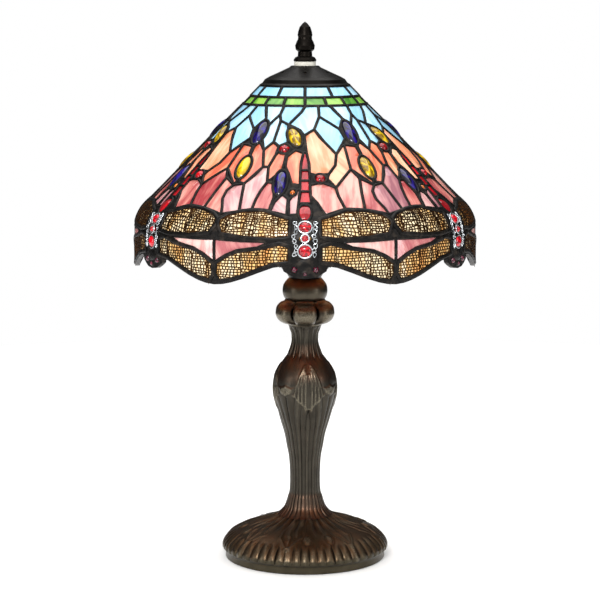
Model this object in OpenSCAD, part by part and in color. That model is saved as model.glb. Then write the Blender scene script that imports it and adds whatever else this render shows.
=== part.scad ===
// Leaded-glass table lamp: dragonfly shade on a cast lotus-leaf base.
// The lamp stands on z = 0 with its axis on Z, and one dragonfly faces -Y.

/* [Base] */
// Diameter of the foot at its beaded rim
foot_d = 153; // [150:0.5:156]
// Height of the joint between the foot and the stem castings
stem_z = 39; // [38.5:0.5:40]
// Wall of the foot and stem castings
wall = 3.2; // [2.8:0.1:3.6]
// Radius of the threaded tube that ties the stack together
tube_r = 4.9; // [4.5:0.1:5]
// Number of lobes on the collar above the stem
lobe_count = 6; // [5:1:8]

/* [Shade] */
// Radius of the shade's surface at its vertical skirt
shade_r = 153; // [151:0.5:154]
// Height of the shade's rim above the table
rim_z = 271; // [270:0.5:272]
// Radius of the shade's surface at the edge of the crown
crown_r = 38.5; // [38:0.25:39]
// Slope of the cone, measured from the vertical
slope = 44.6; // [44.4:0.1:44.8]
// Radius of the bend from the cone into the skirt
bend_r = 31; // [30:0.5:32]
// Number of dragonflies round the shade
sector_count = 6; // [6:1:6]
// Thickness of the glass panes
glass_t = 2.6; // [2.2:0.1:2.8]
// Thickness of the leading
came_t = 3.6; // [3.4:0.1:4]
// Half of the leading's width between two panes
came_half = 1.15; // [1:0.05:1.3]
// Panes in the crown ring
crown_panes = 12; // [10:2:14]
// Panes in the green band
band_panes = 18; // [16:1:20]

/* [Lampholder] */
// Radius of the lampholder's shell
holder_r = 17.5; // [17:0.25:18]
// Radius of the bulb's envelope
bulb_r = 30; // [28:0.5:31]
// Distance from the lamp's axis to the harp's legs
harp_x = 42; // [41:0.5:42]
// Radius of the harp's wire
harp_wire = 2.2; // [2:0.1:2.4]
// Radius of the finial's threaded stud
stud_r = 3.2; // [3:0.1:3.4]

/* [Hidden] */
$fn = 64;

// Spacing of the dragonflies
sector = 360 / sector_count;
// Gap left round every pane and jewel
seat = 0.1;
// Depth of a pane's cutting prism to each side of the surface
reach = 7.5;
// Radial gap of parts that turn or slide on each other
running = 0.35;
// Foot radius
foot_r = foot_d / 2;

// ---------------------------------------------------------------- the shade's surface
// Slant length from the crown to the rim
slant = 209;
// Slant length of the bend and the radius and height at each end of it
bend_len = bend_r * slope * PI / 180;
bend_start = (shade_r - crown_r - bend_r * (1 - cos(slope))) / sin(slope);
bend_end = bend_start + bend_len;
bend_z = rim_z + slant - bend_end;
crown_z = bend_z + bend_r * sin(slope) + bend_start * cos(slope);

// Angle of the surface from the vertical at the slant distance s
function tilt(s) =
    s < bend_start ? slope
    : s < bend_end ? slope * (bend_end - s) / bend_len
    : 0;

// Radius of a surface that lies d outside the middle one
function rad(s, d = 0) =
    (s < bend_start ? crown_r + s * sin(slope)
    : s < bend_end ? shade_r - bend_r * (1 - cos(tilt(s)))
    : shade_r) + d * cos(tilt(s));

// Height of the same surface
function hgt(s, d = 0) =
    (s < bend_start ? crown_z - s * cos(slope)
    : s < bend_end ? bend_z + bend_r * sin(tilt(s))
    : bend_z + bend_end - s) + d * sin(tilt(s));

// Puts its children on the surface: X to the right, Y up the slant and Z outwards
module on_surface(p) {
    rotate([0, 0, p[0]]) translate([0, -rad(p[1]), hgt(p[1])])
        rotate([90 - tilt(p[1]), 0, 0]) children();
}

// The surface point p seen in the frame that on_surface(c) makes
function flat(p, c) =
    let (turn = p[0] - c[0], t = tilt(c[1]))
    [rad(p[1]) * sin(turn),
     (rad(c[1]) - rad(p[1]) * cos(turn)) * sin(t) + (hgt(p[1]) - hgt(c[1])) * cos(t)];

function mean(list) = list * [for (v = list) 1] / len(list);
function middle(outline) = [mean([for (p = outline) p[0]]), mean([for (p = outline) p[1]])];

// Signed area, used to tell which way an outline runs
function signed_area(p) =
    let (n = len(p))
    mean([for (i = [0 : n - 1]) cross(p[i], p[(i + 1) % n])]) * n / 2;

function unit(v) = v / norm(v);
function left_of(v) = [-v[1], v[0]];

// Moves each side of the closed outline p inwards by d
function shrink(p, d) =
    let (n = len(p), side = sign(signed_area(p)))
    [for (i = [0 : n - 1])
        let (a = side * left_of(unit(p[i] - p[(i + n - 1) % n])),
             b = side * left_of(unit(p[(i + 1) % n] - p[i])))
        p[i] + (a + b) * d / max(0.35, 1 + a * b)];

// Adds points along a long side, so that it follows the curve of the surface
function follow(p, step = 9) =
    let (n = len(p))
    [for (i = [0 : n - 1])
        let (q = p[(i + 1) % n], cuts = max(1, ceil(abs(q[0] - p[i][0]) / step)))
        for (k = [0 : cuts - 1]) p[i] + (q - p[i]) * k / cuts];

// The cutting prism of one pane, with its sides moved inwards by d
module prism(outline, d) {
    c = middle(outline);
    on_surface(c) translate([0, 0, -reach]) linear_extrude(2 * reach)
        polygon(shrink([for (p = follow(outline)) flat(p, c)], d));
}

// The closed profile between two surfaces, from slant a to slant b
function shell_profile(a, b, inner, outer) =
    let (bends = [for (k = [0 : 4]) bend_start + bend_len * k / 4],
         line = concat([a], [for (s = bends) if (s > a && s < b) s], [b]),
         n = len(line))
    concat([for (s = line) [rad(s, outer), hgt(s, outer)]],
        [for (i = [n - 1 : -1 : 0]) [rad(line[i], inner), hgt(line[i], inner)]]);

module shell(a, b, inner, outer) {
    rotate_extrude($fn = 120) polygon(shell_profile(a, b, inner, outer));
}

module repeat() {
    for (k = [0 : sector_count - 1]) rotate([0, 0, k * sector]) children();
}

// ---------------------------------------------------------------- the leading's plan
// Each point is [degrees from a dragonfly's centre, distance down the slant] on the
// middle of a lead line. Junctions that several panes share have a name.
crown_s = 13.5;
band_s = 23.5;
function before(p) = [p[0] - sector, p[1]];
function mirrored(outline) = [for (p = outline) [-p[0], p[1]]];

t1 = [-19, band_s];
t2 = [0.5, band_s];
t3 = [12, band_s];
t4 = [23, band_s];
j1 = [-20, 34];
j2 = [-26, 46];
j3 = [-18, 41];
j4 = [-11.5, 45.5];
j5 = [-0.5, 58];
j6 = [6, 51];
j7 = [11, 36];
j8 = [23.5, 51];
j9 = [29.5, 39];
j10 = [25, 62];
j11 = [29.5, 71];
j12 = [16.5, 79.5];
j13 = [22.5, 69];
j14 = [21.5, 97];
j16 = [29.5, 115.5];
j18 = [12.5, 117];
j19 = [9.5, 107];
j20 = [10.5, 102];
j21 = [24, 107.5];
k4 = [-9.3, 93];
k5 = [-9.3, 82];
k6 = [-5, 74.5];
k7 = [-18.5, 65.5];
k8 = [-22.8, 75];
k9 = [-15.3, 80.5];
k10 = [-17.3, 94];
k11 = [-20, 94];
k12 = [-16, 111];
k13 = [-26, 113.5];
k14 = [-18.7, 131];
k15 = [-19, 141];
k17 = [-23.5, 144];
k18 = [-24.7, 128];
m1 = [-3, 31];
m2 = [-10, 66];
m3 = [21.5, 142];
m4 = [14.3, 140.5];
m5 = [12.8, 126];
m6 = [30, 148];

// Half-width of the dragonfly's body to the middle of the leading beside it
function body_half(s) =
    lookup(s, [[76, 0.6], [80, 2.2], [90, 3.5], [105, 4.1], [122, 4.4], [134, 5.4], [144, 6.4]]);
function body_side(s) = body_half(s) / rad(s) * 180 / PI;
function body_run(stations, side) = [for (s = stations) [side * body_side(s), s]];

blue_panes = [
    [before(t4), t1, j1, j2, before(j9)],
    [t1, t2, m1, j4, j3, j1],
    [t2, t3, j7, j6, j5, [-3, 52], j4, m1],
    [t3, t4, [25, 29], j9, j8, [14.5, 40], j7],
    [j1, j3, k7, k8, [-26.5, 62], j2],
    [j3, j4, [-10.8, 56], m2, [-14.5, 70.5], k7],
    [j7, [14.5, 40], j8, j10, j12, j6]];
cream_panes = [
    concat([j5, j6, [9, 60], j12, [14.5, 92], j20, [5, 103]], body_run([101, 90, 78], 1))];
peach_panes = [
    concat([k6], body_run([78, 90, 101, 114], -1), [[-5.5, 113], [-7.3, 101], k4, k5]),
    [k7, [-14.8, 71], k9, k10, k11, k8],
    [k9, m2, [-9.8, 84], [-10.3, 97], [-13.5, 105], k12, k10]];
coral_panes = [
    [[-29.5, 71], [-27, 66], k8, k11, [-22.5, 104], k13, [-28.8, 112], [-29, 96]],
    [j13, j11, [30, 82], [30, 111], j16, j14],
    [j12, j13, j14, j18, j19, j20, [14.5, 92]]];
rose_panes = [
    [j14, j21, [22.5, 124], m3, m4, m5, j18],
    [j21, j16, [27.5, 122], [27.5, 131], [29.3, 141], m6, m3, [22.5, 124]],
    concat([[7, 111], j18, m5, m4, [7, 147], [4.6, 134]], body_run([126, 114], 1)),
    [k12, [-13, 112], [-11.8, 128], [-12.6, 142], k15, k14, [-17.8, 121]]];
mauve_panes = [
    [[-8.8, 124], [-6.4, 129], [-6.3, 147], [-12.3, 143.5], [-11.3, 133]],
    concat([[-5, 127]], body_run([118, 134, 146], -1), [[-5.6, 147], [-6, 131]]),
    [k11, k10, k12, [-17.8, 121], k14, k15, k17, k18, k13],
    [before(j16), k13, k18, k17, before(m6), [-30.7, 141], [-32.5, 131], [-32.5, 122]]];

upper_wing = [[4.5, 151], [9, 147], [14.3, 141.5], [22, 142.5], [27.5, 147], [30, 153],
    [30, 158], [28, 167], [20, 169.5], [10, 170.5], [4.5, 168.5]];
lower_wing = [[4.5, 174], [8, 171.5], [14.5, 176], [22, 179], [26, 183.5], [29.7, 190],
    [30, 200], [28.5, 206.5], [24, 204.5], [19, 200], [15, 195.5], [10, 190.5], [4.5, 188.5]];
wing_outlines = [upper_wing, mirrored(upper_wing), lower_wing, mirrored(lower_wing)];
wing_gap = [[12, 171.5], [30, 170], [30, 190], [26, 183.5], [22, 179], [15, 176]];
gap_outlines = [wing_gap, mirrored(wing_gap)];
wing_border = 1.9;

// The scalloped edge is cut by three overlapping outlines: under the head and to each side
below = 232;
head_half = [[8.6, below], [8.6, 193], [7.3, 191.6], [6.8, 195.5], [5, 198.5], [3, 201]];
head_gap = concat(head_half, [[0, 202]],
    [for (i = [len(head_half) - 1 : -1 : 0]) [-head_half[i][0], head_half[i][1]]]);
side_gap = [[30.8, below], [30.8, 209.2], [27, 208.3], [24, 206.5], [20, 203], [15, 197.7],
    [10, 192.7], [7.9, 191.8], [7.9, below]];
edge_gaps = [head_gap, side_gap, mirrored(side_gap)];

// Glass of the tail: the first segment is pointed, the others are banded
tail_panes = [
    concat(body_run([77.5, 88, 97.5], -1), body_run([97.5, 88, 77.5], 1)),
    concat(body_run([97.5, 109], -1), body_run([109, 97.5], 1)),
    concat(body_run([109, 121], -1), body_run([121, 109], 1)),
    concat(body_run([121, 134], -1), body_run([134, 121], 1))];

// Jewels: [degrees, slant, half-width, half-length, lean in degrees]
purple_list = [[30, 55, 5.6, 13.6, 0], [-10.3, 112, 5.2, 14, 0]];
yellow_list = [[-6.3, 60, 5.2, 11.2, 22], [30.2, 95.5, 5.7, 12.6, 0]];
red_list = [[-11.3, 73.5, 4.6, 4.6, 0], [6.5, 107, 4.4, 4.4, 0]];
amber_list = [[-4.8, 122.3, 2.3, 2.9, 0]];
abdomen_list = [[0, 144.5, 4.6, 8, 0]];
thorax_list = [[0, 158.8, 5.4, 4.7, 0], [0, 168, 5, 3, 0], [0, 178.4, 5.6, 5.4, 0]];
eye_list = [[-3.4, 194.3, 2.6, 2.6, 0], [3.4, 194.3, 2.6, 2.6, 0], [0, 197.7, 2.2, 2, 0]];
jewel_list = concat(purple_list, yellow_list, red_list, amber_list, abdomen_list,
    thorax_list, eye_list);
// Jewels that sit in a lead ring across the panes
bezel_list = concat(purple_list, yellow_list, red_list, amber_list);
bezel = 1.8;

field_panes = concat(blue_panes, cream_panes, peach_panes, coral_panes, rose_panes,
    mauve_panes, gap_outlines, tail_panes);

function ring_pane(width, k, a, b) =
    [[k * width, a], [(k + 1) * width, a], [(k + 1) * width, b], [k * width, b]];
function ellipse(a, b, n = 20) = [for (k = [0 : n - 1]) [a * cos(360 * k / n), b * sin(360 * k / n)]];

// ---------------------------------------------------------------- glass and leading
module jewel_prism(j, grow) {
    on_surface(j) rotate([0, 0, j[4]]) translate([0, 0, -reach])
        linear_extrude(2 * reach) polygon(ellipse(j[2] + grow, j[3] + grow));
}

// A domed jewel with a flat back and its highest point `rise` above the surface
module jewel(j, rise = 4.2) {
    back = glass_t / 2;
    edge = 1.2;
    dome = (j[3] * j[3] + (rise - edge) * (rise - edge)) / (2 * (rise - edge));
    on_surface(j) rotate([0, 0, j[4]]) intersection() {
        translate([0, 0, -back]) linear_extrude(back + rise) polygon(ellipse(j[2], j[3]));
        translate([0, 0, rise - dome]) sphere(dome, $fn = 96);
    }
}

module jewels(list, rise = 4.2) {
    repeat() for (j = list) jewel(j, rise);
}

module bezels(grow) {
    repeat() for (j = bezel_list) jewel_prism(j, grow);
}

// Panes of one kind of glass, cut from the shell and kept clear of the jewels' rings
module panes(outlines, border = came_half) {
    intersection() {
        shell(0, 216, -glass_t / 2, glass_t / 2);
        difference() {
            repeat() for (p = outlines) prism(p, border + seat);
            bezels(bezel + seat);
        }
    }
}

module ring_panes(count, a, b) {
    width = 360 / count;
    intersection() {
        shell(0, 30, -glass_t / 2, glass_t / 2);
        for (k = [0 : count - 1]) prism(ring_pane(width, k, a, b), came_half + seat);
    }
}

module ring_windows(count, a, b) {
    for (k = [0 : count - 1]) prism(ring_pane(360 / count, k, a, b), came_half);
}

module field_windows() {
    difference() {
        repeat() for (p = field_panes) prism(p, came_half);
        bezels(bezel);
    }
}

module lead_came() {
    color("#26221e") difference() {
        shell(1, 216, -came_t / 2, came_t / 2);
        ring_windows(crown_panes, 0.5, crown_s);
        ring_windows(band_panes, crown_s, band_s);
        field_windows();
        repeat() for (p = wing_outlines) prism(p, wing_border);
        repeat() for (j = jewel_list) jewel_prism(j, seat);
        repeat() for (p = edge_gaps) prism(p, 0);
    }
}

module crown_glass() {
    color("#bfe0f2") ring_panes(crown_panes, 0.5, crown_s);
}

module green_band_glass() {
    color("#7fb03c") ring_panes(band_panes, crown_s, band_s);
}

module blue_petal_glass() {
    color("#b9dcf0") panes(blue_panes);
}

module cream_petal_glass() {
    color("#e8cdb6") panes(cream_panes);
}

module peach_petal_glass() {
    color("#e0a18a") panes(peach_panes);
}

module coral_petal_glass() {
    color("#d97f66") panes(coral_panes);
}

module rose_petal_glass() {
    color("#c9788a") panes(rose_panes);
}

module mauve_petal_glass() {
    color("#b58ca6") panes(mauve_panes);
}

module wing_glass() {
    color("#e3b877") panes(wing_outlines, wing_border);
}

module wing_gap_glass() {
    color("#cf9aa6") panes(gap_outlines);
}

module body_glass() {
    color("#b3141f") {
        panes(tail_panes);
        jewels(abdomen_list, 3.4);
    }
}

// The pierced sheet over each wing, as its plain blank
module wing_filigree() {
    sheet_t = 0.4;
    color("#7a5a2c") intersection() {
        shell(0, 216, glass_t / 2 + 0.05, glass_t / 2 + 0.05 + sheet_t);
        repeat() for (p = wing_outlines) prism(p, wing_border + seat);
    }
}

// Cast wire loops lying on the leading beside the thorax
module body_filigree() {
    lift = came_t / 2 + 0.55;
    color("#b9bcc0") repeat() for (s = [159, 168.5, 180]) for (side = [-1, 1])
        on_surface([side * 3.5, s]) translate([0, 0, lift]) rotate_extrude()
            translate([2.4, 0]) circle(0.5, $fn = 24);
}

module thorax_jewels() {
    color("#a3152a") jewels(thorax_list, 4);
}

module eye_jewels() {
    color("#7d1038") jewels(eye_list, 3.6);
}

module purple_jewels() {
    color("#2a0f63") jewels(purple_list);
}

module yellow_jewels() {
    color("#d9a514") jewels(yellow_list);
}

module red_jewels() {
    color("#a31218") jewels(red_list);
}

module amber_jewels() {
    color("#b5651d") jewels(amber_list, 3);
}

// ---------------------------------------------------------------- base castings
module turned(profile) {
    rotate_extrude() polygon(profile);
}

// A casting turned from a profile that ends on the axis, hollowed to an even wall
module hollow(profile, bore) {
    difference() {
        turned(profile);
        turned(shrink(profile, wall));
        translate([0, 0, profile[0][1] - 1]) cylinder(r = bore, h = 300);
    }
}

tube_hole = tube_r + 0.15;
plinth_r = foot_r - 2.8;
grommet_z = 10;
ring_z = 0.6;
foot_profile = [[0, ring_z], [plinth_r, ring_z], [plinth_r, 6], [foot_r - 1, 8], [foot_r, 11],
    [foot_r - 0.8, 13.5], [foot_r - 3.5, 17.5], [foot_r - 8.5, 22], [foot_r - 14.5, 25.5],
    [foot_r - 21.5, 28.5], [foot_r - 30.5, 31.5], [foot_r - 42, 35], [25.8, stem_z], [0, stem_z]];
stem_top = 216.5;
stem_profile = [[0, stem_z + 0.2], [25.6, stem_z + 0.2], [22.4, 42], [18.6, 47], [15.6, 56],
    [14, 62], [13.6, 76], [14.4, 92], [16.5, 104], [18.8, 116], [22.4, 128], [27, 144],
    [28.9, 153], [29, 161], [27.9, 169], [25, 176], [19.6, 184.5], [16, 189], [13.4, 195],
    [11.9, 201], [11.9, 208], [13.2, 212], [15.2, stem_top], [0, stem_top]];

module foot_casting() {
    color("#4a4032") difference() {
        hollow(foot_profile, tube_hole);
        cylinder(r = plinth_r - wall, h = 8);
        translate([0, foot_r + 4, grommet_z]) rotate([90, 0, 0]) cylinder(r = 4.2, h = 14);
    }
}

module cord_grommet() {
    color("#1d1b1a") translate([0, 0, grommet_z]) rotate([-90, 0, 0]) difference() {
        union() {
            translate([0, 0, foot_r - 7]) cylinder(r = 4.1, h = 8.6);
            translate([0, 0, foot_r + 0.3]) cylinder(r = 5.4, h = 1.6);
        }
        translate([0, 0, foot_r - 8]) cylinder(r = 2.6, h = 12);
    }
}

module felt_pad() {
    color("#2c3a2e") difference() {
        cylinder(r = plinth_r - wall - 0.4, h = 2.6);
        translate([0, 0, -1]) cylinder(r = 14, h = 5);
    }
}

module stem_casting() {
    color("#4d4335") hollow(stem_profile, tube_hole);
}

collar_z = stem_top + 0.1;
knop_z = 240.2;
cup_z = 260;

// The collar's lobes: six overlapping drums, rounded by one turned cushion
lobe_at = 17;
lobe_r = 11.5;

module lobed_collar() {
    color("#4d4335") difference() {
        union() {
            turned([[0, collar_z], [15.2, collar_z], [18, 219], [19.2, 223], [19.4, 234],
                [18.4, knop_z - 0.1], [0, knop_z - 0.1]]);
            intersection() {
                turned([[0, 218.4], [18, 218.4], [22.4, 219.4], [26.2, 222.3], [28.1, 226.8],
                    [28.1, 230.4], [26.4, 234.4], [22.6, 237.3], [17.6, 238.4], [0, 238.4]]);
                for (k = [0 : lobe_count - 1]) rotate([0, 0, 360 * k / lobe_count])
                    translate([0, -lobe_at, 217]) cylinder(r = lobe_r, h = 23);
            }
        }
        translate([0, 0, 200]) cylinder(r = tube_hole, h = 60);
    }
}

module ball_knop() {
    color("#4d4335") hollow([[0, knop_z], [17.6, knop_z], [19.6, 242.6], [20.5, 246.4],
        [20.5, 250], [19.6, 253.6], [17.2, 257.4], [14.8, cup_z - 0.1], [0, cup_z - 0.1]],
        tube_hole);
}

module socket_cup() {
    floor_t = 2;
    color("#43392e") difference() {
        turned([[0, cup_z], [14.6, cup_z], [16.6, 263.5], [20, 267], [23, 270.2], [0, 270.2]]);
        turned([[0, cup_z + floor_t], [13.4, cup_z + floor_t], [15.4, 264.6], [18.6, 267.8],
            [21, 270.3], [21, 271], [0, 271]]);
        translate([0, 0, cup_z - 1]) cylinder(r = tube_hole, h = 12);
    }
}

module threaded_tube() {
    color("#8a8173") difference() {
        translate([0, 0, 21]) cylinder(r = tube_r, h = 255.5);
        translate([0, 0, 20]) cylinder(r = tube_r - 1.2, h = 258);
    }
}

washer_z = stem_z - wall - 2.1;

module base_washer() {
    color("#9a948a") translate([0, 0, washer_z]) difference() {
        cylinder(r = 16, h = 2);
        translate([0, 0, -1]) cylinder(r = tube_hole, h = 4);
    }
}

module base_nut() {
    color("#8f887c") translate([0, 0, washer_z - 6.1]) difference() {
        cylinder(r = 9, h = 6, $fn = 6);
        translate([0, 0, -1]) cylinder(r = tube_hole, h = 8);
    }
}

// ---------------------------------------------------------------- lampholder and harp
saddle_z = 270.4;
saddle_t = 2;
ear_x = 28;
ear_top = 280.2;
knee_z = 312;
elbow_z = 340;
arch_r = 40;
arch_x = harp_x - arch_r;
arch_z = 405;
// The wire thickens a little where it is bent
bend_swell = 0.2;
holder_z = saddle_z + saddle_t + 0.2;
shell_z = 290.5;
sleeve_z = 276.5;
knob_z = 284;

module harp_saddle() {
    color("#a08f5e") difference() {
        union() {
            translate([-ear_x, -6, saddle_z]) cube([2 * ear_x, 12, saddle_t]);
            for (x = [-ear_x, ear_x]) translate([x, 0, saddle_z]) {
                cylinder(r = 6, h = saddle_t);
                cylinder(r = harp_wire, h = ear_top - saddle_z);
            }
        }
        translate([0, 0, saddle_z - 1]) cylinder(r = tube_hole, h = 5);
    }
}

// Half of the harp: a straight leg, a knee, a slanted run, an elbow and a quarter arch
module harp_half() {
    slant_x = harp_x - ear_x;
    slant_h = elbow_z - knee_z;
    translate([ear_x, 0, ear_top + 0.2]) cylinder(r = harp_wire, h = knee_z - ear_top - 0.2);
    translate([ear_x, 0, knee_z]) {
        sphere(harp_wire + bend_swell);
        rotate([0, atan2(slant_x, slant_h), 0])
            cylinder(r = harp_wire, h = norm([slant_x, slant_h]));
    }
    translate([harp_x, 0, elbow_z]) {
        sphere(harp_wire + bend_swell);
        cylinder(r = harp_wire, h = arch_z - elbow_z);
    }
    translate([arch_x, 0, arch_z]) rotate([90, 0, 0]) rotate_extrude(angle = 90)
        translate([arch_r, 0]) circle(harp_wire);
}

module harp() {
    color("#a08f5e") {
        harp_half();
        mirror([1, 0, 0]) harp_half();
        translate([-arch_x, 0, arch_z + arch_r]) rotate([0, 90, 0])
            cylinder(r = harp_wire, h = 2 * arch_x);
    }
}

rest_z = arch_z + arch_r + harp_wire + 0.1;
rest_top = 451;

module harp_rest() {
    color("#a08f5e") translate([0, 0, rest_z]) difference() {
        cylinder(r = 11, h = rest_top - rest_z);
        translate([0, 0, -1]) cylinder(r = stud_r + 0.1, h = 6);
    }
}

module harp_stud() {
    color("#b0a070") translate([0, 0, rest_z]) cylinder(r = stud_r, h = 478 - rest_z);
}

module sleeve(x) {
    color("#b09a55") translate([x, 0, sleeve_z]) difference() {
        cylinder(r = 3.7, h = 14);
        translate([0, 0, -1]) cylinder(r = harp_wire + running, h = 16);
    }
}

module harp_sleeve_left() {
    sleeve(-ear_x);
}

module harp_sleeve_right() {
    sleeve(ear_x);
}

module socket_cap() {
    color("#8d7740") difference() {
        turned([[0, holder_z], [9, holder_z], [13, 274.5], [16, 279], [holder_r, shell_z - 0.1],
            [0, shell_z - 0.1]]);
        turned([[0, holder_z + 1.4], [8.6, holder_z + 1.4], [12.2, 275.6], [14.8, 279.6],
            [holder_r - 1.3, shell_z - 2], [holder_r - 1.3, shell_z], [0, shell_z]]);
        translate([0, 0, holder_z - 1]) cylinder(r = tube_hole, h = 5);
        translate([0, 0, knob_z]) rotate([-90, 0, 0]) cylinder(r = 2.3, h = 30);
    }
}

module switch_body() {
    color("#2b2522") translate([0, 0, 279.5]) cylinder(r = 11.6, h = 11);
}

module switch_knob() {
    color("#1e1a18") translate([0, 0, knob_z]) rotate([-90, 0, 0]) {
        translate([0, 0, 12]) cylinder(r = 1.9, h = 14);
        difference() {
            translate([0, 0, 22]) cylinder(r = 5.6, h = 9);
            for (k = [0 : 11]) rotate([0, 0, 30 * k]) translate([5.9, 0, 21])
                cylinder(r = 0.6, h = 11);
        }
    }
}

module socket_shell() {
    color("#b8974a") translate([0, 0, shell_z]) difference() {
        union() {
            cylinder(r = holder_r, h = 39);
            for (z = [2, 36.8]) translate([0, 0, z]) cylinder(r = holder_r + 0.6, h = 2);
        }
        translate([0, 0, -1]) cylinder(r = holder_r - 0.8, h = 42);
    }
}

module socket_liner() {
    color("#c9bfae") translate([0, 0, shell_z + 0.3]) difference() {
        cylinder(r = holder_r - 0.9, h = 38);
        translate([0, 0, -1]) cylinder(r = holder_r - 2, h = 41);
    }
}

bulb_z = 299;
thread_r = 13.1;

module screw_shell() {
    color("#c79c4b") translate([0, 0, 295]) difference() {
        cylinder(r = thread_r + 0.9, h = 29);
        translate([0, 0, 0.8]) cylinder(r = thread_r + running, h = 30);
        translate([0, 0, -1]) cylinder(r = 6, h = 4);
    }
}

module centre_contact() {
    color("#c79c4b") translate([0, 0, 291]) {
        cylinder(r = 3, h = 7);
        cylinder(r = 9, h = 1.2);
    }
}

// ---------------------------------------------------------------- bulb
module bulb_contact() {
    color("#3a3a3a") translate([0, 0, bulb_z]) {
        cylinder(r = 4.5, h = 1.5);
        translate([0, 0, 1.5]) cylinder(r1 = 6, r2 = 11, h = 3.5);
    }
}

module bulb_cap() {
    color("#b9babc") translate([0, 0, bulb_z + 5.4]) difference() {
        union() {
            cylinder(r = thread_r - 0.6, h = 24);
            for (k = [0 : 4]) translate([0, 0, 3 + 3.6 * k]) rotate_extrude()
                translate([thread_r - 0.6, 0]) circle(0.6, $fn = 24);
        }
        translate([0, 0, -1]) cylinder(r = thread_r - 1.3, h = 26);
    }
}

// Half profile of the envelope, made smaller by t for its inside
bulb_mid = 375;
function envelope(t) = concat(
    [[0, 324 + t], [11.6 - t, 324 + t], [11.6 - t, 330], [14 - t, 335], [19.5 - t, 345],
    [25.5 - t, 356]],
    [for (a = [-18 : 12 : 90]) [(bulb_r - t) * cos(a), bulb_mid + (bulb_r - t) * sin(a)]]);

module bulb_envelope() {
    color([1, 0.97, 0.9, 0.6]) difference() {
        turned(envelope(0));
        turned(envelope(0.9));
    }
}

module bulb_stem() {
    color("#e8d9a8") {
        translate([0, 0, 326]) cylinder(r1 = 7, r2 = 3, h = 26);
        for (x = [-1.8, 1.8]) translate([x, 0, 350]) rotate([0, 3 * x, 0])
            cylinder(r = 0.5, h = 26);
        translate([0, 0, 377]) rotate([90, 0, 0]) rotate_extrude() translate([6, 0])
            circle(0.5, $fn = 24);
    }
}

// ---------------------------------------------------------------- crown and finial
module shade_cap() {
    top = 452.5;
    sheet_t = 1.2;
    lip = [crown_r + 2.6, crown_z + 1.5];
    dish = [[14.3, 451], [18.6, 449], [25, 446], [32.5, 442.6], [36.3, 440.4]];
    color("#3f3a30") difference() {
        turned(concat([[0, top], [12.6, top]], dish,
            [[crown_r, crown_z + 2.9], lip, [lip[0], lip[1] - 0.7], [crown_r, crown_z + 1.5]],
            [for (i = [4 : -1 : 0]) dish[i] - [0.4, sheet_t]],
            [[12.4, top - sheet_t], [0, top - sheet_t]]));
        translate([0, 0, top - 5]) cylinder(r = stud_r + 0.5, h = 8);
        for (k = [0 : 5]) rotate([0, 0, 60 * k]) translate([0, -23, top - 20])
            cylinder(r = 1.6, h = 30);
    }
}

module cap_ring() {
    color("#8d7740") translate([0, 0, crown_z - 2.8]) difference() {
        cylinder(r = crown_r - 1.2, h = 4);
        translate([0, 0, -1]) cylinder(r = crown_r - 2.6, h = 6);
    }
}

washer_top = 456.2;
flange_z = washer_top + 0.3;

module cap_washer() {
    color("#e4e2da") translate([0, 0, 452.6]) difference() {
        cylinder(r = 9.8, h = washer_top - 452.6);
        translate([0, 0, -1]) cylinder(r = stud_r + 0.5, h = 6);
    }
}

insert_r = stud_r + 1.5;

module finial_insert() {
    color("#b39a52") translate([0, 0, flange_z + 0.5]) difference() {
        cylinder(r = insert_r, h = 14);
        translate([0, 0, -1]) cylinder(r = stud_r + 0.3, h = 16);
    }
}

module finial() {
    color("#4d4335") difference() {
        turned([[0, flange_z], [10.2, flange_z], [10.2, 458], [8.8, 460], [6.6, 461],
            [6.3, 465], [8.4, 467], [8.9, 470.5], [7.6, 474], [6.5, 476], [6.2, 478],
            [6.7, 480], [6.2, 483], [4.9, 487], [2, 490.5], [0, 492]]);
        translate([0, 0, flange_z - 1]) cylinder(r = insert_r + 0.3, h = 16);
        translate([0, 0, flange_z]) cylinder(r = stud_r + 0.3, h = 24);
    }
}

felt_pad();
foot_casting();
cord_grommet();
stem_casting();
lobed_collar();
ball_knop();
socket_cup();
threaded_tube();
base_washer();
base_nut();
harp_saddle();
harp();
harp_rest();
harp_stud();
socket_cap();
socket_shell();
socket_liner();
screw_shell();
centre_contact();
switch_body();
switch_knob();
harp_sleeve_left();
harp_sleeve_right();
bulb_contact();
bulb_cap();
bulb_envelope();
bulb_stem();
shade_cap();
cap_ring();
cap_washer();
lead_came();
crown_glass();
green_band_glass();
blue_petal_glass();
cream_petal_glass();
peach_petal_glass();
coral_petal_glass();
rose_petal_glass();
mauve_petal_glass();
wing_glass();
wing_gap_glass();
wing_filigree();
body_glass();
body_filigree();
thorax_jewels();
eye_jewels();
purple_jewels();
yellow_jewels();
red_jewels();
amber_jewels();
finial_insert();
finial();
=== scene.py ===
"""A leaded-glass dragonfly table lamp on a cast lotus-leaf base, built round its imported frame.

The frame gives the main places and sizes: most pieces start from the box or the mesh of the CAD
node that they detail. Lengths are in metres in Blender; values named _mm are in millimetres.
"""

from __future__ import annotations

import logging
import math
import random
from dataclasses import dataclass
from enum import Enum
from typing import Any, Callable, Iterable, Sequence

import bmesh
import bpy
import numpy as np
from mathutils import Matrix, Vector


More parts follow.
